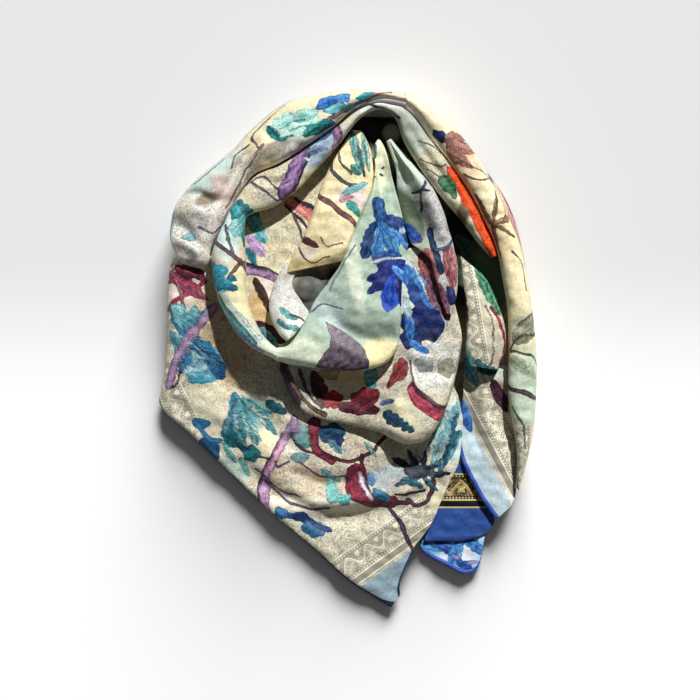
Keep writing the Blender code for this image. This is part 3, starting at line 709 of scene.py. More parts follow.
PRINT["swag"] = [
    Ground("#e8dfc6", 0.95),
    Wash(0, -24, 30, 12, -8, "#ecccA0", 0.2),
    Wash(80, -16, 28, 26, 0, "#f0eee4", 0.9),
    Wash(56, 60, 9, 46, 0, "#d5e2d2", 0.0),
    Wash(66, 102, 18, 9, 0, "#dde6c8", 0.0),
    Wash(55, -64, 20, 22, 0, "#efe6c2", 0.5),
    Wash(-46, -34, 10, 20, 0, "#b4aca0", 0.8),
    Leaf(-74, -6, -50, -74, 16, 0.1, "#6a4456", "#22121c"),
    Ribbon(4, 4, "#7c6450", "#3c2c26", [(-60, -24), (-48, -50), (-24, -66)]),
    Ribbon(2, 2, "#5c4448", "#2c1e24", [(-50, -20), (-44, -40), (-28, -58)]),
    Leaf(-38, -20, -22, -60, 15, 0.2, "#6c2430", "#180a0c"),
    Blot(-18, -50, 10, 9, 0, "#d8342e", "#6c1820"),
    Blot(14, -48, 15, 9, 20, "#b43c44", "#5c1826"),
    Blot(10, -58, 20, 7, -5, "#7c2838", "#240c14"),
    Leaf(28, -46, 2, -64, 9, 0.3, "#a4384a", "#3c0f1c"),
    Blot(-20, -24, 10, 5, 0, "#e4c090", "#b48c64"),
    Blot(50, -20, 7, 12, -10, "#bc5c4c", "#7c2c2c"),
    Leaf(56, -10, 37, -38, 10, 0.2, "#a84a40", "#6c2424"),
    Blot(21, -28, 6, 11, 0, "#9cccc8", "#4c989c"),
    Ribbon(2, 2, "#8c7a6a", "#56463c", [(60, -10), (62, -30), (74, -46), (96, -56)]),
    Ribbon(9, 14, "#ec7084", "#94203c", [(62, -38), (70, -52), (92, -66)]),
    Ribbon(3, 4, "#5a3040", "#24101a", [(62, -33), (76, -50), (98, -58)]),
    Leaf(34, -62, 64, -82, 13, 0.6, "#2f7f86", "#0c2c38"),
    Blot(44, -70, 9, 6, -30, "#3c6c8c", "#12283c"),
    Leaf(30, -54, 44, -50, 6, 0.3, "#8c9cc0", "#4c5c8c"),
    Leaf(50, 84, 88, 38, 18, 0.1, "#5fb0ec", "#1f5cb4"),
    Blot(64, 56, 5, 16, 20, "#2c60b4", "#0c2460"),
    Blot(74, 68, 4, 12, 30, "#7cc4f0", "#3c88d0"),
    Blot(73, 26, 22, 18, -20, "#0f3486", "#04082c"),
    Blot(84, 24, 12, 11, 20, "#123078", "#060c38"),
    Blot(62, 12, 11, 12, 0, "#183e88", "#080f40"),
    Leaf(58, 40, 60, 4, 9, 0.2, "#55a4dc", "#1c55a0"),
    Leaf(58, 8, 78, -2, 9, 0.3, "#6cb8f4", "#2464bc"),
    Blot(57, 42, 4, 10, 10, "#e4ece8", "#b0c8cc"),
    Ribbon(2, 2, "#eef2f2", "#c3d4dc",
           [(50, 96), (62, 86), (72, 66), (82, 46), (95, 28), (91, 14), (78, 4)]),
    Leaf(72, 98, 84, 62, 17, 0.1, "#d48c84", "#7c3c44"),
    Leaf(78, 70, 99, 30, 17, 0.1, "#b47888", "#5c3044"),
    Blot(74, -14, 9, 8, 0, "#c8ccc4", "#8c9498"),
    Blot(96, -18, 8, 9, 0, "#c4c0a4", "#8c8c78"),
]
PRINT["cowl"] = [
    Ground("#b0c5b2", 0.0),
    Wash(-50, -2, 34, 16, 0, "#d0dbc2", 0.0),
    Wash(-20, 40, 16, 30, 30, "#bccfc6", 0.0),
    # painted shade: a darker green wash along the cowl's soft trough
    Wash(22, 30, 30, 18, -10, "#9cb0a0", 0.0),
    Wash(30, -6, 22, 18, 0, "#efe2ac", 0.0),
    Wash(2, 90, 8, 60, 10, "#d9e2cc", 0.0),
    Wash(30, 190, 12, 34, 0, "#e6e9c9", 0.0),
    Wash(46, 160, 8, 34, 0, "#bccfb8", 0.0),
    Patch("#9a8c98", "#3b2c38",
          [(-24, 29), (-10, 20), (5, 10), (13, 2), (18, -10), (19, -19),
           (0, -24), (-20, -24), (-35, -17), (-27, -8), (-20, 2), (-19, 12)]),
    Ribbon(1.2, 1.2, "#97aaa8", "#6f8286", [(-40, 38), (-26, 46), (-8, 40)]),
    Ribbon(1, 1, "#b8c8c4", "#93a8a4", [(-24, 66), (-16, 92), (-4, 120)]),
    Ribbon(1, 1, "#b8c8c4", "#93a8a4", [(-20, 60), (-8, 84), (6, 104)]),
    Ribbon(10, 15, "#3f74b0", "#12306c", [(28, 148), (29, 138), (32, 126)]),
    Leaf(34, 130, 12, 90, 20, 0.2, "#1f6ca0", "#081850"),
    Leaf(33, 128, 24, 86, 15, 0.2, "#6cbce0", "#1c54a0"),
    Leaf(34, 128, 46, 92, 17, 0.2, "#58b8d4", "#164c9c"),
    Leaf(34, 132, 68, 106, 20, 0.2, "#1c54a8", "#0a1658"),
    Leaf(33, 126, 60, 100, 8, 0.1, "#7cc4ec", "#2c74c4"),
    Leaf(22, 92, 52, 94, 12, 0.3, "#2f7cc0", "#0c1f6c"),
    Blot(40, 76, 14, 9, -20, "#1c38a0", "#0a1458"),
    Leaf(46, 76, 18, 70, 14, 0.2, "#18329c", "#080f48"),
    Leaf(46, 72, 16, 57, 13, 0.2, "#1a389c", "#080f48"),
    Leaf(48, 76, 26, 86, 11, 0.2, "#1c389c", "#0a1454"),
    Leaf(46, 74, 37, 38, 19, 0.1, "#2c68d8", "#143cac"),
    Leaf(50, 76, 50, 42, 9, 0.1, "#1c3498", "#0a1450"),
    Ribbon(10, 12, "#2444a8", "#0c1658", [(38, 84), (52, 84), (64, 78)]),
    Leaf(42, 82, 72, 60, 9, 0.1, "#7cc8f4", "#2c74cc"),
    Ribbon(2, 2, "#f2f6f4", "#d0dedf", [(20, 88), (36, 90), (56, 91), (66, 84)]),
    Blot(52, 118, 4, 4, 0, "#c8d8e4", "#8cacc8"),
    Ribbon(1.4, 1.4, "#5a5a4c", "#2c2c24", [(22, 174), (25, 172)]),
    Ribbon(1.4, 1.4, "#5a5a4c", "#2c2c24", [(30, 176), (32, 174)]),
    Ribbon(1.4, 1.4, "#5a5a4c", "#2c2c24", [(31, 182), (33, 183)]),
    Leaf(14, 212, 22, 186, 6, 0.1, "#8cc4bc", "#3c7c80"),
    Leaf(26, 206, 24, 190, 4, 0.1, "#6ca49c", "#2c6468"),
]
PRINT["cowl_curl"] = [
    Ground("#d6d6d0", 0.6),
    Wash(-62, 40, 12, 30, 0, "#dfdeda", 0.6),
    Wash(-54, 20, 14, 12, 0, "#e8ece0", 0.0),
    Leaf(-72, 40, -52, 30, 6, 0.3, "#8ccfc4", "#4f9c9a"),
    Leaf(-66, 24, -50, 20, 6, 0.3, "#9fd8c8", "#5fb0a4"),
    Leaf(-74, 30, -60, 20, 5, 0.3, "#7fc0bc", "#3f8c90"),
    Ribbon(2, 1, "#6a5a5e", "#3c3034", [(-60, 36), (-50, 32), (-44, 27)]),
]
PRINT["inner_fold"] = [
    Ground("#f3e2b2", 0.0),
    Wash(2, 150, 18, 13, 0, "#ecd8d0", 0.0),
    Wash(-4, 120, 16, 30, 0, "#f7e8bc", 0.0),
    Wash(-30, 84, 36, 9, 0, "#dccb90", 0.0),
    Wash(-42, 96, 10, 8, 30, "#e9dcc8", 0.0),
    Ribbon(4.5, 4.5, "#94655e", "#4c2c30", [(-40, 161), (-24, 148), (-8, 136), (8, 122)]),
    Ribbon(3, 3, "#5a5c66", "#2c2c36", [(-22, 200), (-18, 180), (-8, 168), (14, 163)]),
    Ribbon(2, 2, "#77746a", "#4a4842", [(-12, 196), (-8, 184), (2, 176)]),
    Leaf(2, 218, 10, 178, 8, 0.1, "#b4e0d2", "#4a9490"),
    Leaf(12, 218, 20, 176, 7, 0.1, "#e4eeda", "#4f9c98"),
    Leaf(8, 204, 14, 172, 5, 0.1, "#3c8480", "#14484c"),
    Leaf(2, 184, 10, 174, 7, 0.2, "#6fb4a0", "#2f6f62"),
    Leaf(-6, 156, 18, 166, 9, 0.2, "#b4dedc", "#6cb0b8"),
    Leaf(-2, 146, 12, 132, 9, 0.2, "#6cccb8", "#3a9890"),
    Leaf(-12, 150, 4, 151, 7, 0.2, "#eebcc0", "#cc9498"),
    Leaf(-52, 111, -32, 103, 8, 0.2, "#7a4c48", "#3c2022"),
    Ribbon(1, 1, "#a88a64", "#7c6044", [(-58, 112), (-50, 96), (-40, 88), (-20, 92)]),
    Ribbon(1, 1, "#b58f84", "#8c6860", [(-30, 112), (-22, 104), (-8, 106)]),
]
PRINT["inner_back"] = [
    Ground("#efe4c2", 0.9),
    # painted shade: the next two washes are near black where cloth lies in deep shadow between the
    # inner strip and the collar and back rolls
    Wash(62, 130, 34, 80, 0, "#141810", 0.0),
    Wash(122, 96, 46, 70, 0, "#161f18", 0.0),
    Wash(136, 70, 22, 40, 20, "#5a6c58", 0.3),
    # painted shade: near black for the hollow under the collar's arch
    Wash(30, 222, 90, 26, 0, "#1a1d16", 0.0),
    Wash(42, 218, 9, 9, 0, "#a8b0a0", 0.0),
    # painted shade: a grey patch and a near-black one where the inner fold's edge shades the cloth
    # below it
    Wash(-38, 58, 24, 26, 0, "#5e5e58", 0.5),
    Wash(-14, 70, 12, 16, 0, "#24241f", 0.2),
    Wash(-86, 60, 14, 14, 0, "#ece0d4", 0.2),
    Wash(-92, 40, 12, 24, 0, "#d8b880", 0.4),
    Leaf(-104, 138, -84, 108, 15, 0.4, "#9fe0dc", "#2a98a4"),
    Leaf(-108, 150, -92, 132, 10, 0.4, "#3fa4b4", "#146c84"),
    Leaf(-102, 114, -84, 92, 12, 0.2, "#e0bce0", "#a480b4"),
    Leaf(-104, 102, -94, 84, 8, 0.3, "#4fb0b8", "#14707e"),
    Ribbon(8, 7, "#cba2cc", "#5a3a58", [(-106, 80), (-88, 77), (-68, 66)]),
    Ribbon(2, 2, "#3c3038", "#1c141c", [(-104, 86), (-88, 83), (-72, 76)]),
    Leaf(-96, 72, -78, 36, 9, 0.2, "#5c3c28", "#28180c"),
    Leaf(-98, 28, -64, 8, 14, 0.2, "#5c1c24", "#1c0608"),
    Leaf(-94, 22, -70, -2, 13, 0.3, "#84ccd0", "#1a6a80"),
    Ribbon(9, 10, "#f8a898", "#cc605c", [(-64, 152), (-50, 142), (-34, 128)]),
    Ribbon(3, 3, "#3c3442", "#1a1620", [(-54, 152), (-42, 145), (-32, 137)]),
    Ribbon(2, 2, "#4c3840", "#2a1a22", [(-66, 146), (-54, 134), (-42, 122)]),
    Ribbon(1.6, 1.6, "#7f6f68", "#4c3e3c", [(-60, 142), (-50, 120), (-47, 100)]),
    Leaf(108, 116, 134, 72, 16, 0.3, "#4c8c6c", "#16402c"),
    Leaf(126, 78, 148, 38, 15, 0.3, "#8ce0b8", "#2c7c58"),
]
PRINT["collar_roll"] = [
    Ground("#efe6c6", 0.5),
    Wash(-122, 112, 16, 26, 0, "#d6eae0", 0.0),
    Wash(-106, 62, 14, 30, 0, "#f3e8b8", 0.0),
    Wash(-84, 0, 26, 12, 0, "#d6e0ca", 0.0),
    Wash(-120, 152, 10, 28, 30, "#e6d4cc", 0.0),
    Wash(-78, 168, 30, 18, 30, "#e8dec0", 1.0),
    Wash(-30, 202, 30, 18, 38, "#a3b4c4", 0.0),
    Wash(18, 242, 36, 10, 0, "#dde0d8", 0.0),
    Wash(58, 218, 26, 26, 0, "#b4bcac", 0.2),
    Wash(86, 184, 20, 18, 0, "#e4dcbc", 0.9),
    # painted shade: a dark olive wash on the inner side of the orange stripe, where the collar roll
    # falls into shadow
    Wash(112, 136, 8, 20, -30, "#6c6248", 0.0),
    Leaf(-146, 96, -124, 144, 12, 0.1, "#918ca4", "#484460"),
    Blot(-112, 138, 12, 8, -50, "#5fc8c4", "#127c84"),
    Blot(-102, 126, 10, 9, 0, "#9ce8dc", "#2aa4a4"),
    Blot(-112, 120, 8, 10, 20, "#c4ece4", "#5cb4b4"),
    Leaf(-112, 150, -96, 132, 10, 0.4, "#2f9ea0", "#0a505c"),
    Blot(-98, 112, 6, 9, -20, "#3fb0b4", "#0f6a74"),
    Ribbon(4, 5, "#9c7078", "#4c303e", [(-148, 112), (-124, 100), (-108, 88), (-96, 78)]),
    Ribbon(2, 2, "#7c8492", "#3c4454", [(-124, 124), (-120, 108), (-112, 92)]),
    Ribbon(2, 3, "#8c6a62", "#54403c", [(-98, 88), (-110, 82), (-120, 70)]),
    Leaf(-148, 84, -120, 76, 14, 0.3, "#5fc8dc", "#1688a4"),
    Leaf(-148, 72, -116, 64, 14, 0.3, "#6cd0dc", "#1a88a0"),
    Blot(-116, 70, 4, 3, 0, "#2f94a8", "#12607c"),
    Blot(-115, 61, 4, 3, 0, "#2f94a8", "#12607c"),
    Leaf(-136, 60, -114, 62, 8, 0.3, "#3fa8bc", "#0f6078"),
    Ribbon(10, 10, "#b4ecec", "#2aa4ac", [(-140, 54), (-120, 30), (-96, 6)]),
    Ribbon(3, 3, "#3fb0b4", "#0c5c68", [(-132, 52), (-112, 28), (-92, 8)]),
    Ribbon(3, 3, "#e8f4f0", "#9cd0d0", [(-126, 56), (-108, 34), (-88, 12)]),
    Ribbon(11, 10, "#c8bad6", "#8c84a6", [(-136, 28), (-112, 8), (-92, -4)]),
    Ribbon(2, 2, "#8a7080", "#58424e", [(-96, 168), (-84, 156), (-72, 148)]),
    Ribbon(1.6, 1.6, "#8a7080", "#58424e", [(-106, 166), (-88, 172), (-70, 160), (-60, 164)]),
    Ribbon(13, 15, "#b894c2", "#5c3868", [(-48, 202), (-54, 182), (-64, 154)]),
    Ribbon(2, 2, "#4c2c58", "#2c1834", [(-40, 196), (-46, 178), (-54, 156)]),
    Leaf(-52, 206, -14, 220, 12, 0.2, "#5ca4d0", "#14508c"),
    Leaf(-44, 196, -22, 200, 8, 0.2, "#a4b8d0", "#5c7ca4"),
    Ribbon(3, 3, "#e4eaee", "#a8b8c8", [(-44, 190), (-30, 184), (-20, 198)]),
    Ribbon(9, 8, "#caa0c2", "#64345e", [(-18, 232), (-12, 214), (-14, 196)]),
    Ribbon(2, 2, "#544c58", "#2c2630", [(10, 248), (28, 240), (48, 230)]),
    Blot(97, 163, 6, 13, 30, "#5c9c68", "#24583c"),
    # painted shadow: this dark red stripe, showing past the orange one, stands for the back roll's
    # shadow along that stripe's edge
    Ribbon(8, 6, "#a02c18", "#4c0e08", [(112, 180), (127, 155), (140, 128), (150, 98)]),
    Ribbon(9, 13, "#fc6020", "#e04410",
           [(101, 178), (114, 155), (127, 130), (137, 110), (144, 92)]),
    Ribbon(1.2, 1.2, "#9a7a6a", "#6c5248", [(70, 190), (86, 182), (98, 184)]),
    Ribbon(1.2, 1.2, "#9a7a6a", "#6c5248", [(76, 178), (90, 172), (100, 174)]),
    Ribbon(1.2, 1.2, "#9a7a6a", "#6c5248", [(66, 206), (80, 204), (92, 196)]),
]
PRINT["inner_strip"] = [
    Ground("#d8dad6", 0.95),
    Wash(52, 188, 30, 34, 0, "#cddccc", 0.05),
    # painted shade: a dark green wash in the strip's valley, which lies in shadow
    Wash(57, 134, 13, 34, 28, "#5a6650", 0.0),
    Wash(68, 104, 12, 7, 20, "#a8ac90", 0.0),
    Wash(90, 130, 16, 20, 0, "#d6d4d4", 1.0),
    Wash(98, 50, 14, 20, 0, "#dfd8ca", 0.8),
    Leaf(74, 100, 84, 62, 17, 0.1, "#dc948c", "#84444c"),
    Leaf(78, 70, 99, 30, 17, 0.1, "#b47888", "#5c3044"),
    Leaf(97, 104, 103, 60, 14, 0.1, "#dc948c", "#7c3c44"),
    Leaf(48, 124, 70, 108, 14, 0.2, "#2c68c0", "#0c1c68"),
    Ribbon(8, 6, "#2c4c74", "#0a1828", [(80, 118), (84, 100), (90, 78)]),
    Ribbon(3, 2, "#5a7f9c", "#1c3c54", [(86, 99), (94, 102), (106, 110)]),
    Blot(100, 54, 5, 9, 20, "#34549c", "#10184c"),
    Ribbon(2, 2, "#3f5f86", "#1a2c4c", [(78, 168), (72, 154), (70, 138)]),
    Ribbon(2, 2, "#4c5c70", "#28343f", [(60, 156), (70, 158), (82, 160)]),
]
PRINT["border_fold"] = [
    Ground("#ebe2c6", 0.7),
    Wash(114, 60, 7, 30, 0, "#8c7c80", 0.3),
    Border(120, 20, -80, 70, None),
    Leaf(126, 86, 152, 34, 14, 0.2, "#8cd8b0", "#1c6448"),
    Leaf(108, 68, 114, 26, 9, 0.1, "#6c4454", "#22141c"),
    Ribbon(3.4, 2.6, "#bc3850", "#5c1024",
           [(140, 42), (149, 30), (154, 12), (154, -2), (150, -16)]),
    Ribbon(1.4, 1.4, "#c8b8a0", "#8c8070", [(134, 44), (142, 24), (144, 2), (140, -14)]),
    Leaf(108, 6, 122, -26, 14, 0.3, "#94d4d0", "#2a8894"),
    Leaf(124, -12, 150, -26, 10, 0.3, "#4c8c94", "#143c48"),
]
PRINT["border_tail"] = [
    Ground("#f8f2e0", 0.4),
    Wash(134, -26, 28, 14, 0, "#c8d4c4", 0.4),
    # painted shade: a darker wash in the valley beside the back roll, which lies in its shadow
    Wash(152, -50, 10, 22, 0, "#a89880", 0.3),
    Border(148, -76, -62, 110, "#bfd3da"),
    Leaf(112, -8, 128, -36, 15, 0.3, "#94d4d0", "#2a8894"),
    Leaf(126, -14, 146, -24, 11, 0.3, "#3f7f86", "#0f3442"),
    Leaf(142, -30, 158, -62, 11, 0.1, "#5e3248", "#2a1420"),
    Leaf(111, -50, 121, -84, 10, 0.1, "#4f94d0", "#1c4ca0"),
]
PRINT["back_roll"] = [
    Ground("#faecc0", 0.0),
    Wash(76, 242, 30, 16, -40, "#f4e2c2", 0.0),
    Wash(112, 200, 16, 26, -30, "#d8b49c", 0.1),
    Wash(118, 176, 18, 18, 0, "#efd9b0", 0.1),
    Wash(150, 120, 14, 30, 0, "#f2dfb0", 0.0),
    Wash(176, 24, 22, 12, 0, "#c3c2a4", 0.2),
    Wash(176, -40, 24, 44, 0, "#cddec6", 0.0),
    Wash(172, -115, 18, 34, 0, "#e6dfc0", 0.2),
    Border(172, -112, -84, 36, None),
    Blot(88, 211, 7, 6, -30, "#2a3c74", "#10184a"),
    Leaf(92, 208, 124, 216, 12, 0.2, "#c89484", "#8c5448"),
    Leaf(94, 202, 130, 198, 13, 0.2, "#d4a494", "#94604f"),
    Leaf(96, 196, 122, 180, 12, 0.2, "#c89484", "#845044"),
    Ribbon(1.2, 1, "#b07868", "#7a4c40", [(104, 186), (120, 182), (136, 176), (150, 166)]),
    Ribbon(1.2, 1, "#a87a64", "#74503f", [(112, 174), (128, 168), (144, 170)]),
    Ribbon(1.2, 1, "#a87a64", "#74503f", [(108, 206), (124, 206), (142, 196)]),
    Leaf(140, 124, 122, 156, 6, 0.3, "#b89c74", "#6c5438"),
    Leaf(140, 124, 148, 160, 5, 0.3, "#b89c74", "#6c5438"),
    Leaf(140, 124, 170, 134, 6, 0.3, "#c8a880", "#7c6040"),
    Leaf(140, 124, 168, 112, 5, 0.3, "#b89c74", "#6c5438"),
    Leaf(140, 124, 148, 90, 5, 0.3, "#b89c74", "#6c5438"),
    Ribbon(1.2, 0.8, "#7c6448", "#4c3c2c", [(154, 130), (166, 146), (180, 150)]),
    Ribbon(1.2, 0.8, "#8c7458", "#5c4a38", [(160, 98), (172, 84), (178, 60)]),
    Leaf(160, 8, 194, 32, 20, 0.2, "#bcbca0", "#7c7c60"),
    Ribbon(2, 2, "#5c5c4c", "#3a3a30", [(156, 0), (172, 14), (196, 12)]),
    Ribbon(2, 1.4, "#6f7460", "#4a4f40", [(158, -2), (176, -4), (196, -16)]),
    Ribbon(1.4, 1.4, "#8c9080", "#646858", [(166, 24), (180, 34), (196, 36)]),
    Leaf(158, -8, 190, -28, 14, 0.2, "#d8e2c8", "#a4b494"),
    Ribbon(5, 4, "#66505a", "#2c2026", [(152, -36), (170, -42), (196, -48)]),
    Ribbon(1.2, 1.2, "#8a9c84", "#64745f", [(160, -56), (172, -76), (176, -100)]),
]
PRINT["outer_sliver"] = [
    Ground("#d4bca8", 0.2),
    Wash(136, 184, 16, 18, 0, "#2f3458", 0.0),
    Wash(168, 130, 12, 26, 0, "#b98f86", 0.0),
    Ribbon(2, 2, "#6c3a44", "#3a1c26", [(150, 166), (160, 148), (168, 128)]),
]
PRINT["corner_tail"] = [
    Ground("#a4d0ea", 0.0),
    Wash(110, -206, 20, 12, 0, "#dde6f0", 0.0),
    Wash(84, -198, 12, 8, 0, "#6cb8e4", 0.0),
    Leaf(70, -194, 98, -200, 12, 0.3, "#7cd0f4", "#2468b4"),
    Leaf(86, -190, 112, -208, 14, 0.3, "#4f94dc", "#16388c"),
    Leaf(112, -190, 102, -218, 13, 0.3, "#7cc8f0", "#2468bc"),
    Leaf(116, -192, 136, -204, 11, 0.3, "#5ca8e4", "#1a4ca4"),
    Ribbon(4, 3, "#c4b4dc", "#6c5c9c", [(104, -208), (116, -215), (128, -214)]),
    Leaf(106, -212, 124, -222, 9, 0.3, "#3c7ccc", "#142f84"),
]
PRINT["navy_tail"] = [
    Ground("#2c4f94", 0.0),
    Wash(116, -196, 70, 8, 0, "#1f3674", 0.0),
    Border(112, -138, 0, 60, None),
]
PRINT["hidden_layers"] = [Ground("#b8ac8a", 0.6)]


def linear(colour):
    """An sRGB hex colour as linear light."""
    shares = [int(colour[k : k + 2], 16) / 255 for k in (1, 3, 5)]
    return np.array([c / 12.92 if c <= 0.04045 else ((c + 0.055) / 1.055) ** 2.4 for c in shares])


def rgba(colour):
    """An sRGB hex colour for a node's colour input."""
    return (*linear(colour), 1.0)


def smooth(low, high, value):
    """0 below low, 1 above high, and an even ease between."""
    t = np.clip((value - low) / (high - low), 0, 1)
    return t * t * (3 - 2 * t)


def blend(dark, light, share):
    """A mix of two dyes at each point."""
    share = np.clip(share, 0, 1)[:, None]
    return linear(dark) * (1 - share) + linear(light) * share


def uneven(at, size, seed):
    """Soft random values about 0, each patch of them about size millimetres across."""
    random = np.random.default_rng(seed)
    total = np.zeros(len(at))
    for _ in range(WAVES):
        angle, phase = random.uniform(0, tau, 2)
        pitch = size * random.uniform(0.6, 1.7)
        total += np.sin(at @ (np.cos(angle), np.sin(angle)) * tau / pitch + phase)
    return total / 2.6  # near the square root of WAVES, so that most values lie within 1


def by_hand(at):
    """Places shifted a little, so that figures look drawn by hand and printed on soft cloth."""
    coarse = np.column_stack([uneven(at, 17, 3), uneven(at, 17, 4)])
    fine = np.column_stack([uneven(at, 6, 5), uneven(at, 6, 6)])
    return at + 0.9 * coarse + 0.15 * fine


def brushed(at, aside, share):
    """How light a dye is at each point: its own fall from dark to light, crossed by brush marks."""
    marks = np.sin(aside * tau / BRUSH + 2.2 * uneven(at, 16, 21))
    return np.clip(0.08 + 0.6 * share + 0.24 * marks + 0.2 * uneven(at, 9, 22), 0, 1)


def draw_blot(at, row):
    """Depth inside a blot (below zero inside), its dye, and distance from a drawn line."""
    x, y = (at - (row.x, row.y)).T
    turn = radians(row.turn)
    along = x * np.cos(turn) + y * np.sin(turn)
    aside = y * np.cos(turn) - x * np.sin(turn)
    far = np.hypot(along / row.along, aside / row.across)
    wave = 1 + 0.09 * np.sin(5 * np.arctan2(aside, along) + row.x) + 0.03 * uneven(at, 8, 23)
    depth = (far - wave) * min(row.along, row.across)
    share = brushed(at, aside, 0.5 + 0.5 * aside / row.across)
    return depth, blend(row.dark, row.light, share), np.abs(depth)


def draw_leaf(at, row):
    """The same for a leaf or a petal."""
    stalk, tip = np.array([row.x0, row.y0]), np.array([row.x1, row.y1])
    length = np.linalg.norm(tip - stalk)
    ahead = (tip - stalk) / length
    along = (at - stalk) @ ahead / length
    aside = (at - stalk) @ (-ahead[1], ahead[0])
    inside = np.clip(along, 0, 1)
    lobes = max(2, round(length / 8))
    teeth = 1 - row.cut * (1 - np.abs(np.sin(np.pi * inside * lobes)) ** 0.7)
    half = row.width / 2 * np.sin(np.pi * inside**0.8) ** 0.55 * teeth
    over = np.maximum(np.abs(along - 0.5) - 0.5, 0) * length
    depth = np.where(over > 0, np.hypot(over, aside), np.abs(aside) - half)
    share = brushed(at, aside, np.abs(aside) / (half + 1) * 0.6 + 0.4 * (aside > 0))
    line = np.minimum(np.abs(depth), np.where(depth < 0, np.abs(aside), NO_LINE))
    return depth, blend(row.dark, row.light, share), line


def draw_ribbon(at, row):
    """The same for a stem, a ribbon or a brush stroke."""
    far, share = from_run(at, row.run)
    half = (row.start + (row.end - row.start) * share) / 2
    depth = far - half
    across = far / np.maximum(half, 0.1)
    share = brushed(at, far, 1 - across**2)
    return depth, blend(row.dark, row.light, share), np.abs(depth)


def draw_patch(at, row):
    """The same for a patch."""
    outline = np.array(row.outline, float)
    depth = np.full(len(at), np.inf)
    inside = np.zeros(len(at), bool)
    for start, end in zip(outline, np.roll(outline, -1, axis=0)):
        step = end - start
        t = np.clip((at - start) @ step / (step @ step), 0, 1)
        depth = np.minimum(depth, np.linalg.norm(at - start - t[:, None] * step, axis=1))
        spans = (at[:, 1] > start[1]) != (at[:, 1] > end[1])
        meets = start[0] + (at[:, 1] - start[1]) * step[0] / (step[1] or 1)
        inside ^= spans & (at[:, 0] < meets)
    depth = np.where(inside, -depth, depth)
    low, high = outline[:, 1].min(), outline[:, 1].max()
    share = 0.1 + 0.75 * smooth(low, high, at[:, 1]) + 0.15 * uneven(at, 9, 22)
    return depth, blend(row.dark, row.light, share), np.abs(depth)


DRAW = {
    Blot: draw_blot,
    Leaf: draw_leaf,
    Ribbon: draw_ribbon,
    Patch: draw_patch,
}


def of_kind(rows, *kinds):
    """The rows of some kinds, in their order."""
    return [row for row in rows if isinstance(row, kinds)]


def paint(name, flat, from_edge):
    """The print, with the shade painted into some of its washes, at each of a sheet's points: what
    the silk's nodes read, by attribute name.
    """
    base, *rows = PRINT[name]
    ground = np.tile(linear(base.colour), (len(flat), 1))
    scrolled = np.full(len(flat), float(base.scroll))
    for row in of_kind(rows, Wash):
        x, y = (flat - (row.x, row.y)).T
        turn = radians(row.turn)
        u = (x * np.cos(turn) + y * np.sin(turn)) / row.along
        v = (y * np.cos(turn) - x * np.sin(turn)) / row.across
        share = 1 - smooth(0.65, 1.25, np.hypot(u, v))
        ground += share[:, None] * (linear(row.colour) - ground)
        scrolled += share * (row.scroll - scrolled)
    across = np.full(len(flat), NOTHING_NEAR)
    run = np.zeros(len(flat))
    for row in of_kind(rows, Border):
        direction = radians(row.direction)
        x, y = (flat - (row.x, row.y)).T
        there = x * np.cos(direction) + y * np.sin(direction)
        over = y * np.cos(direction) - x * np.sin(direction)
        near = (np.abs(there) < row.half) & (np.abs(over) < BORDER_REACH)
        across[near] = over[near]
        run[near] = there[near]
        if row.plain:
            outside = near & (over < -PLAIN_FROM)
            ground[outside] = linear(row.plain)
            scrolled[outside] = 0
    for row in of_kind(rows, Edge):
        edged = (from_edge < row.width) & (flat[:, 1] < row.below)
        ground[edged] = linear(row.colour)
        scrolled[edged] = 0
        across[edged] = NOTHING_NEAR
    drawn = by_hand(flat)
    depth = np.full(len(flat), NO_MOTIF)
    dye = ground.copy()
    line = np.full(len(flat), NO_LINE)
    for row in of_kind(rows, *DRAW):
        new_depth, new_dye, new_line = DRAW[type(row)](drawn, row)
        covers = (new_depth < 0) | ((new_depth < DYE_SPREAD) & (depth > new_depth))
        dye[covers] = new_dye[covers]
        line = np.where(new_depth < 0, new_line, np.minimum(line, new_line))
        depth = np.minimum(depth, new_depth)
    return {
        "ground": ground,
        "dye": dye,
        "scroll": scrolled,
        "motif": depth,
        "line": line,
        "border": across,
        "border_run": run,
    }


# ---------------------------------------------------------------- finishes

# How many of each pattern there are along a millimetre of cloth.
PATCHES = 0.035  # places 29 mm across where the print is fuller or fainter
WATERING = 0.055  # stains 18 mm across
PUCKERS = 0.11  # soft lumps 9 mm across
FLECKS = 0.28  # flecks of stronger dye 3.6 mm across
BLOTCHES = 0.5  # 2 mm pools of dye
STIPPLE = 0.9  # dots 1.1 mm across
YARNS = 1.1  # slub yarns 0.9 mm apart
SLUBS = 0.12  # thick places 8 mm long in a yarn
HEM_YARNS = 0.9  # yarns 1.1 mm apart
# Sizes of the other patterns, in millimetres.
LARGE_CURL = 11
SMALL_CURL = 5.5
BORDER_REPEAT = 24
HEART = 2.7  # half a heart's width
BEAD = 1.6  # half the distance between a border's dots


def add(tree, kind, links=(), gives=0, **settings):
    """Adds a shader node: its settings, and its inputs in order or by name, each a value or another
    node's output. Hands back the output that gives names, or the node itself for None."""
    made = tree.nodes.new("ShaderNode" + kind)
    for name, value in settings.items():
        setattr(made, name, value)
    for place, value in dict(links if isinstance(links, dict) else enumerate(links)).items():
        if isinstance(value, bpy.types.NodeSocket):
            tree.links.new(value, made.inputs[place])
        else:
            made.inputs[place].default_value = value
    return made if gives is None else made.outputs[gives]


def new_material(name):
    """An empty node material."""
    material = bpy.data.materials.new(name)
    material.use_nodes = True
    material.node_tree.nodes.clear()
    return material, material.node_tree


def finish_with(tree, links):
    """The silk's or paper's shader, and the material's output."""
    surface = add(tree, "BsdfPrincipled", links)
    add(tree, "OutputMaterial", {"Surface": surface}, None)


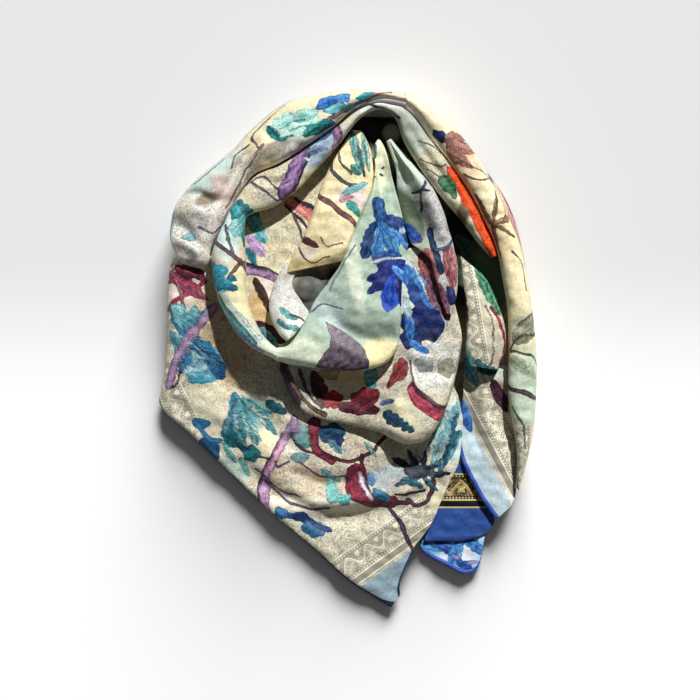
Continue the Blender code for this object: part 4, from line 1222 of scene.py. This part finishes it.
def band(tree, value, middle, half, soft):
    """1 where a value lies within half of middle, easing to 0 over soft."""
    apart = add(tree, "Math", (value, middle), operation="SUBTRACT")
    away = add(tree, "Math", (apart,), operation="ABSOLUTE")
    return add(tree, "MapRange", (away, half, half + soft, 1, 0), interpolation_type="SMOOTHSTEP")


def on_cloth(tree):
    """Places on the cloth as laid out flat, in millimetres."""
    place = add(tree, "UVMap", uv_map="cloth")
    return add(tree, "VectorMath", (place, (1000, 1000, 0)), operation="MULTIPLY")


def scrollwork(tree, place, size):
    """Curled arabesque lines with berries: about one spiral for each size millimetres of cloth,
    some wound one way and some the other."""
    drift = add(tree, "TexNoise", {"Vector": place, "Scale": 0.7 / size, "Detail": 3}, "Color")
    reach = (2.3 * size, 2.3 * size, 0)
    bent = add(tree, "VectorMath", (drift, reach, place), operation="MULTIPLY_ADD")
    links = {"Vector": bent, "Scale": 1 / size}
    cells = add(tree, "TexVoronoi", links, None, voronoi_dimensions="2D")
    arm = add(tree, "VectorMath", (bent, cells.outputs["Position"]), operation="SUBTRACT")
    parts = add(tree, "SeparateXYZ", (arm,), None)
    angle = add(tree, "Math", (parts.outputs[1], parts.outputs[0]), operation="ARCTAN2")
    far = add(tree, "VectorMath", (arm,), "Value", operation="LENGTH")
    chance = add(tree, "Math", (cells.outputs["Color"], 0.5), operation="SUBTRACT")
    hand = add(tree, "Math", (chance,), operation="SIGN")
    wound = add(tree, "Math", (angle, hand), operation="MULTIPLY")
    out = add(tree, "Math", (far, 1 / (0.32 * size)), operation="MULTIPLY")
    turns = add(tree, "Math", (wound, 1 / tau, out), operation="MULTIPLY_ADD")
    swing = add(tree, "Math", (turns, 0.5), operation="PINGPONG")
    berries = band(tree, far, 0, 0.12 * size, 0.06 * size)
    return add(tree, "Math", (band(tree, swing, 0, 0.12, 0.14), berries), operation="MAXIMUM")


def ornament(tree, across, run, curls, zigzag):
    """A border's figures, repeated along it: a garland or a zigzag, with a rosette under each
    crest, a heart in each dip, curls between, rows of dots and plain lines along the edges."""
    dip = BORDER_REPEAT / 2
    step = add(tree, "Math", (run, dip), operation="PINGPONG")
    away = add(tree, "Math", (across,), operation="ABSOLUTE")
    if zigzag:
        wave = add(tree, "Math", (step, -1.1, 7), operation="MULTIPLY_ADD")
    else:
        swing = add(tree, "Math", (step, tau / BORDER_REPEAT), operation="MULTIPLY")
        swing = add(tree, "Math", (swing,), operation="COSINE")
        wave = add(tree, "Math", (swing, 5.5, 1.5), operation="MULTIPLY_ADD")
    garland = add(tree, "Math", (across, wave), operation="SUBTRACT")
    under = add(tree, "Math", (across, 2.5), operation="ADD")
    place = add(tree, "CombineXYZ", (step, under))
    far = add(tree, "VectorMath", (place,), "Value", operation="LENGTH")
    angle = add(tree, "Math", (under, step), operation="ARCTAN2")
    petals = add(tree, "Math", (angle, 5), operation="MULTIPLY")
    petals = add(tree, "Math", (petals,), operation="COSINE")
    petals = add(tree, "Math", (petals, 0.22, 1), operation="MULTIPLY_ADD")
    lobed = add(tree, "Math", (far, petals), operation="MULTIPLY")
    aside = add(tree, "Math", (step, -1 / HEART, dip / HEART), operation="MULTIPLY_ADD")
    cleft = add(tree, "Math", (aside,), operation="SQRT")
    above = add(tree, "Math", (across, 1 / HEART, -1.6), operation="MULTIPLY_ADD")
    above = add(tree, "Math", (cleft, -0.8, above), operation="MULTIPLY_ADD")
    place = add(tree, "CombineXYZ", (aside, above))
    heart = add(tree, "VectorMath", (place,), "Value", operation="LENGTH")
    beads = add(tree, "Math", (run, BEAD), operation="PINGPONG")
    rows = band(tree, away, 10.8, 0.5, 0.5)
    field = band(tree, away, 0, 8.6, 0.8)
    parts = [
        band(tree, garland, 0, 0.6, 0.5),
        band(tree, garland, -2.4, 0.1, 0.5),
        band(tree, lobed, 0, 1.7, 0.4),
        band(tree, lobed, 3.1, 0.2, 0.4),
        band(tree, heart, 0.1, 0.8, 0.2),
        band(tree, away, 13, 0.5, 0.5),
        band(tree, across, -20.5, 0.5, 0.5),
        add(tree, "Math", (band(tree, beads, BEAD, 0.5, 0.5), rows), operation="MULTIPLY"),
        add(tree, "Math", (curls, field), operation="MULTIPLY"),
    ]
    figures = parts[0]
    for part in parts[1:]:
        figures = add(tree, "Math", (figures, part), operation="MAXIMUM")
    return figures


def printed_silk(name, figure_light, figure_dark, zigzag):
    """Silk twill printed through to both sides: a soft sheen, crisp dyes that run a little into
    the weave, and slub yarns that show as faint threads both ways."""
    material, tree = new_material(name)
    place = on_cloth(tree)
    colours = {
        key: add(tree, "Attribute", (), "Color", attribute_name=key, attribute_type="GEOMETRY")
        for key in ("ground", "dye")
    }
    said = {
        key: add(tree, "Attribute", (), "Fac", attribute_name=key, attribute_type="GEOMETRY")
        for key in ("scroll", "motif", "line", "border", "border_run")
    }
    patches = add(tree, "TexNoise", {"Vector": place, "Scale": PATCHES, "Detail": 3})
    flecks = add(tree, "TexNoise", {"Vector": place, "Scale": FLECKS, "Detail": 3})
    blotch = add(tree, "TexNoise", {"Vector": place, "Scale": BLOTCHES, "Detail": 4})
    stipple = add(tree, "TexNoise", {"Vector": place, "Scale": STIPPLE, "Detail": 2})

    # the ground, with its grey-blue arabesques: large and small curls and a fine stipple, each
    # thinning out and coming back from place to place
    large = scrollwork(tree, place, LARGE_CURL)
    small = scrollwork(tree, place, SMALL_CURL)
    thin = add(tree, "MapRange", (patches, 0.4, 0.6, 0.35, 0.95))
    faint = add(tree, "Math", (small, thin), operation="MULTIPLY")
    curls = add(tree, "Math", (large, faint), operation="MAXIMUM")
    worn = add(tree, "MapRange", (flecks, 0.36, 0.52, 0.25, 1))
    curls = add(tree, "Math", (curls, worn), operation="MULTIPLY")
    specks = add(tree, "MapRange", (stipple, 0.57, 0.66, 0, 0.3))
    curls = add(tree, "Math", (curls, specks), operation="MAXIMUM")
    strength = add(tree, "MapRange", (patches, 0.3, 0.6, 0.4, 0.75))
    curls = add(tree, "Math", (curls, strength), operation="MULTIPLY")
    curls = add(tree, "Math", (curls, said["scroll"]), operation="MULTIPLY")
    mottle = add(tree, "MapRange", (flecks, 0.3, 0.7, 0.9, 1.14))
    ground = add(tree, "VectorMath", (colours["ground"], mottle), operation="MULTIPLY")
    links = {"Vector": place, "Scale": WATERING, "Detail": 4, "Distortion": 0.6}
    watered = add(tree, "TexNoise", links)
    for stain, low, high in (("#a6c0b8", 0.54, 0.66), ("#c8ac88", 0.45, 0.33)):
        share = add(tree, "MapRange", (watered, low, high, 0, 0.42))
        share = add(tree, "Math", (share, said["scroll"]), operation="MULTIPLY")
        links = {0: share, 6: ground, 7: rgba(stain)}
        ground = add(tree, "Mix", links, 2, data_type="RGBA")
    inked = add(tree, "VectorMath", (ground, linear("#7e7870")), operation="MULTIPLY")
    ink = rgba("#7e7872")
    inked = add(tree, "Mix", {0: 0.5, 6: inked, 7: ink}, 2, data_type="RGBA")
    colour = add(tree, "Mix", {0: curls, 6: ground, 7: inked}, 2, data_type="RGBA")

    # the figured borders
    figures = ornament(tree, said["border"], said["border_run"], faint, zigzag)
    links = {0: figures, 6: rgba(figure_dark), 7: rgba(figure_light)}
    banded = add(tree, "Mix", links, 2, data_type="RGBA")
    inside = band(tree, said["border"], -3.8, 17.4, 0.4)
    colour = add(tree, "Mix", {0: inside, 6: colour, 7: banded}, 2, data_type="RGBA")

    # the painted motifs, their dye pooling darker here and there, with drawn lines
    pooled = add(tree, "MapRange", (blotch, 0.3, 0.7, 0.72, 1.2))
    figure = add(tree, "VectorMath", (colours["dye"], pooled), operation="MULTIPLY")
    deep = add(tree, "VectorMath", (figure, linear("#59607c")), operation="MULTIPLY")
    pool = add(tree, "MapRange", (flecks, 0.42, 0.3, 0, 0.5))
    figure = add(tree, "Mix", {0: pool, 6: figure, 7: deep}, 2, data_type="RGBA")
    etched = add(tree, "MapRange", (stipple, 0.5, 0.6, 0, 0.4))
    figure = add(tree, "Mix", {0: etched, 6: figure, 7: deep}, 2, data_type="RGBA")
    links = (figure, (1.5, 1.5, 1.5), (0.08, 0.08, 0.08))
    bright = add(tree, "VectorMath", links, operation="MULTIPLY_ADD")
    glint = add(tree, "MapRange", (stipple, 0.44, 0.34, 0, 0.5))
    figure = add(tree, "Mix", {0: glint, 6: figure, 7: bright}, 2, data_type="RGBA")
    waver = add(tree, "Math", (blotch, 0.5), operation="SUBTRACT")
    bleed = add(tree, "Math", (waver, 0.8, said["motif"]), operation="MULTIPLY_ADD")
    covered = add(tree, "MapRange", (bleed, 0.05, 0.6, 1, 0), interpolation_type="SMOOTHSTEP")
    colour = add(tree, "Mix", {0: covered, 6: colour, 7: figure}, 2, data_type="RGBA")
    rubbed = add(tree, "Math", (waver, 1.1, said["line"]), operation="MULTIPLY_ADD")
    drawn = add(tree, "MapRange", (rubbed, 0.1, 0.8, 0.5, 0), interpolation_type="SMOOTHSTEP")
    links = {0: 0.6, 6: deep, 7: rgba("#2a2638")}
    dark = add(tree, "Mix", links, 2, data_type="RGBA")
    colour = add(tree, "Mix", {0: drawn, 6: colour, 7: dark}, 2, data_type="RGBA")

    # the weave: slub yarns about 1 mm apart, drawn coarser than silk's so that they show
    warp = add(tree, "Mapping", {"Vector": place, "Scale": (YARNS, SLUBS, 1)})
    weft = add(tree, "Mapping", {"Vector": place, "Scale": (SLUBS, YARNS, 1)})
    warp = add(tree, "TexNoise", {"Vector": warp, "Scale": 1, "Detail": 3})
    weft = add(tree, "TexNoise", {"Vector": weft, "Scale": 1, "Detail": 3})
    weave = add(tree, "Math", (warp, weft), operation="ADD")
    threads = add(tree, "MapRange", (weave, 0.7, 1.3, 0.8, 1.12))
    colour = add(tree, "VectorMath", (colour, threads), operation="MULTIPLY")
    tone = add(tree, "MapRange", (patches, 0.2, 0.8, 0.88, 1.1))
    colour = add(tree, "VectorMath", (colour, tone), operation="MULTIPLY")
    pucker = add(tree, "TexNoise", {"Vector": place, "Scale": PUCKERS, "Detail": 4})
    links = {"Height": pucker, "Strength": 0.3, "Distance": 0.002}
    lumps = add(tree, "Bump", links)
    links = {"Height": weave, "Strength": 0.4, "Distance": 0.0002, "Normal": lumps}
    bump = add(tree, "Bump", links)
    gloss = add(tree, "MapRange", (weave, 0.6, 1.4, 0.45, 0.62))
    links = {"Base Color": colour, "Roughness": gloss, "Normal": bump}
    links.update({"Sheen Weight": 0.04, "Sheen Roughness": 0.4, "Specular IOR Level": 0.25})
    finish_with(tree, links)
    return material


def hem_silk(name, colour):
    """The same silk rolled and stitched by hand at its edge, dyed one colour: fine yarns show,
    with a soft sheen along the roll."""
    material, tree = new_material(name)
    yarn = add(tree, "TexNoise", {"Vector": on_cloth(tree), "Scale": HEM_YARNS, "Detail": 4})
    tone = add(tree, "MapRange", (yarn, 0, 1, 0.6, 1.35))
    shade = add(tree, "VectorMath", (tone, linear(colour)), operation="MULTIPLY")
    bump = add(tree, "Bump", {"Height": yarn, "Strength": 0.5, "Distance": 0.0006})
    links = {"Base Color": shade, "Roughness": 0.5, "Normal": bump, "Sheen Weight": 0.12}
    finish_with(tree, links)
    return material


# ---------------------------------------------------------------- making the pieces


def place_points(piece, points):
    """Moves a piece's vertices to points given in millimetres."""
    piece.data.vertices.foreach_set("co", (points * MM).astype(np.float32).ravel())
    piece.data.update()


def lay_out(piece, flat):
    """Writes where each vertex lies on the flat cloth as the piece's own UV map."""
    mesh = piece.data
    while mesh.uv_layers:
        mesh.uv_layers.remove(mesh.uv_layers[0])
    corners = np.empty(len(mesh.loops), np.int32)
    mesh.loops.foreach_get("vertex_index", corners)
    layer = mesh.uv_layers.new(name="cloth")
    layer.uv.foreach_set("vector", (flat[corners] * MM).astype(np.float32).ravel())


def write_print(piece, values):
    """Stores the print on the piece's vertices."""
    for name, value in values.items():
        if value.ndim == 2:
            layer = piece.data.attributes.new(name, "FLOAT_COLOR", "POINT")
            value = np.column_stack([value, np.ones(len(value))])
            layer.data.foreach_set("color", value.astype(np.float32).ravel())
        else:
            layer = piece.data.attributes.new(name, "FLOAT", "POINT")
            layer.data.foreach_set("value", value.astype(np.float32))


def deselect():
    """Leaves nothing selected, so that what comes next acts on the new piece alone."""
    for thing in bpy.context.selected_objects:
        thing.select_set(False)


def settle(piece, name, material, nodes):
    """Names a finished piece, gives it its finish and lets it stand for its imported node."""
    piece.name = name
    piece.data.materials.clear()
    piece.data.materials.append(material)
    piece.data.shade_smooth()
    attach(piece, "root")
    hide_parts(*nodes)
    return piece


def thicken(piece, thickness):
    """Gives a sheet its thickness, inwards from the side that shows."""
    wall = piece.modifiers.new("thickness", "SOLIDIFY")
    wall.thickness = thickness * MM
    wall.offset = -1
    bpy.context.view_layer.objects.active = piece
    bpy.ops.object.modifier_apply(modifier=wall.name)


def widths_of(points):
    """How wide a stretch is at each of its rows, measured over the cloth."""
    return np.linalg.norm(np.diff(points, axis=1), axis=2).sum(axis=1)


def sheet_of(stretch, material):
    """One stretch of cloth: a grid laid through its sections, folded, printed and thickened."""
    points, flat = loft(stretch)
    along, across = points.shape[:2]
    deselect()
    bpy.ops.mesh.primitive_grid_add(x_subdivisions=across - 1, y_subdivisions=along - 1)
    piece = bpy.context.object
    over = points[along // 2, -1] - points[along // 2, 0]
    down = points[-1, across // 2] - points[0, across // 2]
    points = press_folds(stretch.name, points.reshape(-1, 3))
    place_points(piece, points)
    if np.cross(over, down)[2] < 0:
        piece.data.flip_normals()
    flat = flat.reshape(-1, 2)
    lay_out(piece, flat)
    from_edge = np.outer(widths_of(points.reshape(along, across, 3)), np.linspace(0, 1, across))
    write_print(piece, paint(stretch.name, flat, from_edge.ravel()))
    area = sum(face.area for face in piece.data.polygons)
    grid = flat.reshape(along, across, 2)
    length = lengths(grid[:, across // 2])[-1] * MM
    width = max(np.linalg.norm(grid[:, -1] - grid[:, 0], axis=1)) * MM
    thicken(piece, CLOTH)
    settle(piece, "silk_" + stretch.name, material, [stretch.name])
    length = max(length, area / width)
    return piece, (width, length, area), points.reshape(along, across, 3), []


def tube_of(row, points, material):
    """A rolled hem along one edge of a sheet, drawn in a little at each of its stitches."""
    count = len(points)
    part = slice(int(row.start * count), max(int(row.end * count), 2))
    edge = points[part, row.edge]
    inner = points[part, -1 - HEM_INWARD if row.edge else HEM_INWARD]
    run = lengths(edge)
    places = np.linspace(0, run[-1], int(run[-1] / HEM_STEP) + 2)
    line = np.column_stack([np.interp(places, run, edge[:, k]) for k in range(3)])
    out = np.column_stack([np.interp(places, run, (edge - inner)[:, k]) for k in range(3)])
    out[:, 2] = 0
    out /= np.linalg.norm(out, axis=1, keepdims=True)
    line += out * row.radius * HEM_OUT - (0, 0, CLOTH / 2)
    cap = np.sqrt(np.clip(np.minimum(places, places[::-1]) / row.radius, 0, 1))
    size = row.radius * (1 - 0.08 * np.cos(places * tau / STITCH) ** 8) * cap
    turns = np.linspace(0, tau, HEM_SIDES + 1)
    aside, upwards = np.cos(turns)[None, :, None], np.sin(turns)[None, :, None]
    ring = aside * out[:, None] + upwards * np.array([0, 0, 1.0])
    points = line[:, None] + size[:, None, None] * ring
    deselect()
    bpy.ops.mesh.primitive_grid_add(x_subdivisions=HEM_SIDES, y_subdivisions=len(places) - 1)
    piece = bpy.context.object
    place_points(piece, points.reshape(-1, 3))
    grid = np.meshgrid(turns * row.radius, places)
    lay_out(piece, np.column_stack([g.ravel() for g in grid]))
    weld(piece)
    return settle(piece, "hem_" + row.name, material, [row.name])


def weld(piece):
    """Joins a piece's coincident points and turns its faces outwards."""
    mesh = bmesh.new()
    mesh.from_mesh(piece.data)
    bmesh.ops.remove_doubles(mesh, verts=mesh.verts, dist=WELD * MM)
    bmesh.ops.recalc_face_normals(mesh, faces=mesh.faces)
    mesh.to_mesh(piece.data)
    mesh.free()


def core_of(material):
    """The mound of hidden layers, with the cut edges of its folds showing round its side."""
    deselect()
    bpy.ops.mesh.primitive_uv_sphere_add(segments=CORE_SEGMENTS, ring_count=CORE_RINGS, radius=1)
    piece = bpy.context.object
    ball = np.array([vertex.co for vertex in piece.data.vertices])
    down = np.arccos(np.clip(ball[:, 2], -1, 1)) / np.pi
    angle = np.arctan2(ball[:, 1], ball[:, 0])
    side = np.array(CORE_SIDE)
    rings = np.linspace(0, 1, len(side))
    degrees, distances = np.array(CORE_OUTLINE).T
    reach = np.interp(np.degrees(angle) % 360, degrees, distances)
    far = np.interp(down, rings, side[:, 0]) * reach
    x = CORE_CENTRE[0] + far * np.cos(angle)
    y = CORE_CENTRE[1] + far * np.sin(angle)
    place_points(piece, np.column_stack([x, y, CORE_HEIGHT * np.interp(down, rings, side[:, 1])]))
    flat = np.column_stack([x, y])
    lay_out(piece, flat)
    write_print(piece, paint("hidden_layers", flat, np.full(len(x), NOTHING_NEAR)))
    return settle(piece, "silk_hidden_layers", material, ["hidden_layers"])


def main():
    """Makes the silks, then the mound, the sheets and their hems."""
    silk = printed_silk("silk twill, printed", "#f3ecd0", "#a09c8e", False)
    dark_silk = printed_silk("silk twill, printed dark side", "#d9bf7c", "#101114", True)
    blue_silk = hem_silk("rolled silk hem, royal blue", "#2347a0")
    hem_silks = [blue_silk, hem_silk("rolled silk hem, navy", "#1c2c54")]
    core_of(silk)
    pieces = {}
    for stretch in STRETCHES:
        cloth = dark_silk if stretch.name == "navy_tail" else silk
        pieces[stretch.name] = (stretch, *sheet_of(stretch, cloth))
    for row in HEMS:
        pieces[row.stretch][-1].append(tube_of(row, pieces[row.stretch][3], hem_silks[row.finish]))


# ---------------------------------------------------------------- the room

# A lamp far off behind the table's back edge: its power, how wide it looks in degrees, the way its
# light goes, and whether it leaves the table out or lights nothing else.
Lamp = namedtuple("Lamp", "name power width slant leaves_out")
LAMPS = [
    Lamp("hard lamp", 4.4, 2, (-0.33, -1.0, -1.0), True),
    Lamp("soft lamp", 11.2, 30, (-0.7, -3.3, -1.0), False),
]
ROOM_LIGHT = 0.08
# In metres, as Blender has them.
TABLE_SIZE = 6
TABLE_GAP = 0.0004  # between the table and the scarf, so that their faces don't meet
CAMERA_HEIGHT = 2.558
CAMERA_LENS = 130  # this one in millimetres


def hang(row, table):
    """One lamp, with a collection of its own that says what it lights."""
    lit = bpy.data.collections.new(row.name + " lights the table")
    lit.objects.link(table)
    light = bpy.data.lights.new(row.name, "SUN")
    light.energy = row.power
    light.angle = radians(row.width)
    lamp = bpy.data.objects.new(row.name, light)
    lamp.rotation_euler = Vector(row.slant).to_track_quat("-Z", "Y").to_euler()
    bpy.context.collection.objects.link(lamp)
    lamp.light_linking.receiver_collection = lit
    if row.leaves_out:
        lit.collection_objects[0].light_linking.link_state = "EXCLUDE"


def stage():
    """A pale table under a wide soft lamp, a small hard one for the silk, and the camera above."""
    deselect()
    bpy.ops.mesh.primitive_plane_add(size=TABLE_SIZE, location=(0, 0, -TABLE_GAP))
    table = bpy.context.object
    table.name = "table"
    # seamless paper, matt, with painted shade making it a little darker towards the back
    material, tree = new_material("pale paper sweep")
    place = add(tree, "TexCoord", (), "Object")
    back = add(tree, "SeparateXYZ", (place,), "Y")
    far = add(tree, "MapRange", (back, -0.08, 0.11, 0, 1), interpolation_type="SMOOTHSTEP")
    links = {0: far, 6: rgba("#f8f8f8"), 7: rgba("#dedede")}
    paper = add(tree, "Mix", links, 2, data_type="RGBA")
    finish_with(tree, {"Base Color": paper, "Roughness": 0.9, "Specular IOR Level": 0.1})
    table.data.materials.append(material)
    camera = bpy.data.objects.new("camera", bpy.data.cameras.new("camera"))
    camera.data.lens = CAMERA_LENS
    camera.location = (0, 0, CAMERA_HEIGHT)
    bpy.context.collection.objects.link(camera)
    bpy.context.scene.camera = camera
    for row in LAMPS:
        hang(row, table)
    world = bpy.data.worlds.new("room")
    bpy.context.scene.world = world
    world.use_nodes = True
    sky = world.node_tree.nodes["Background"]
    sky.inputs["Color"].default_value = (1, 1, 1, 1)
    sky.inputs["Strength"].default_value = ROOM_LIGHT
    bpy.context.scene.view_settings.view_transform = "Standard"


stage()
main()
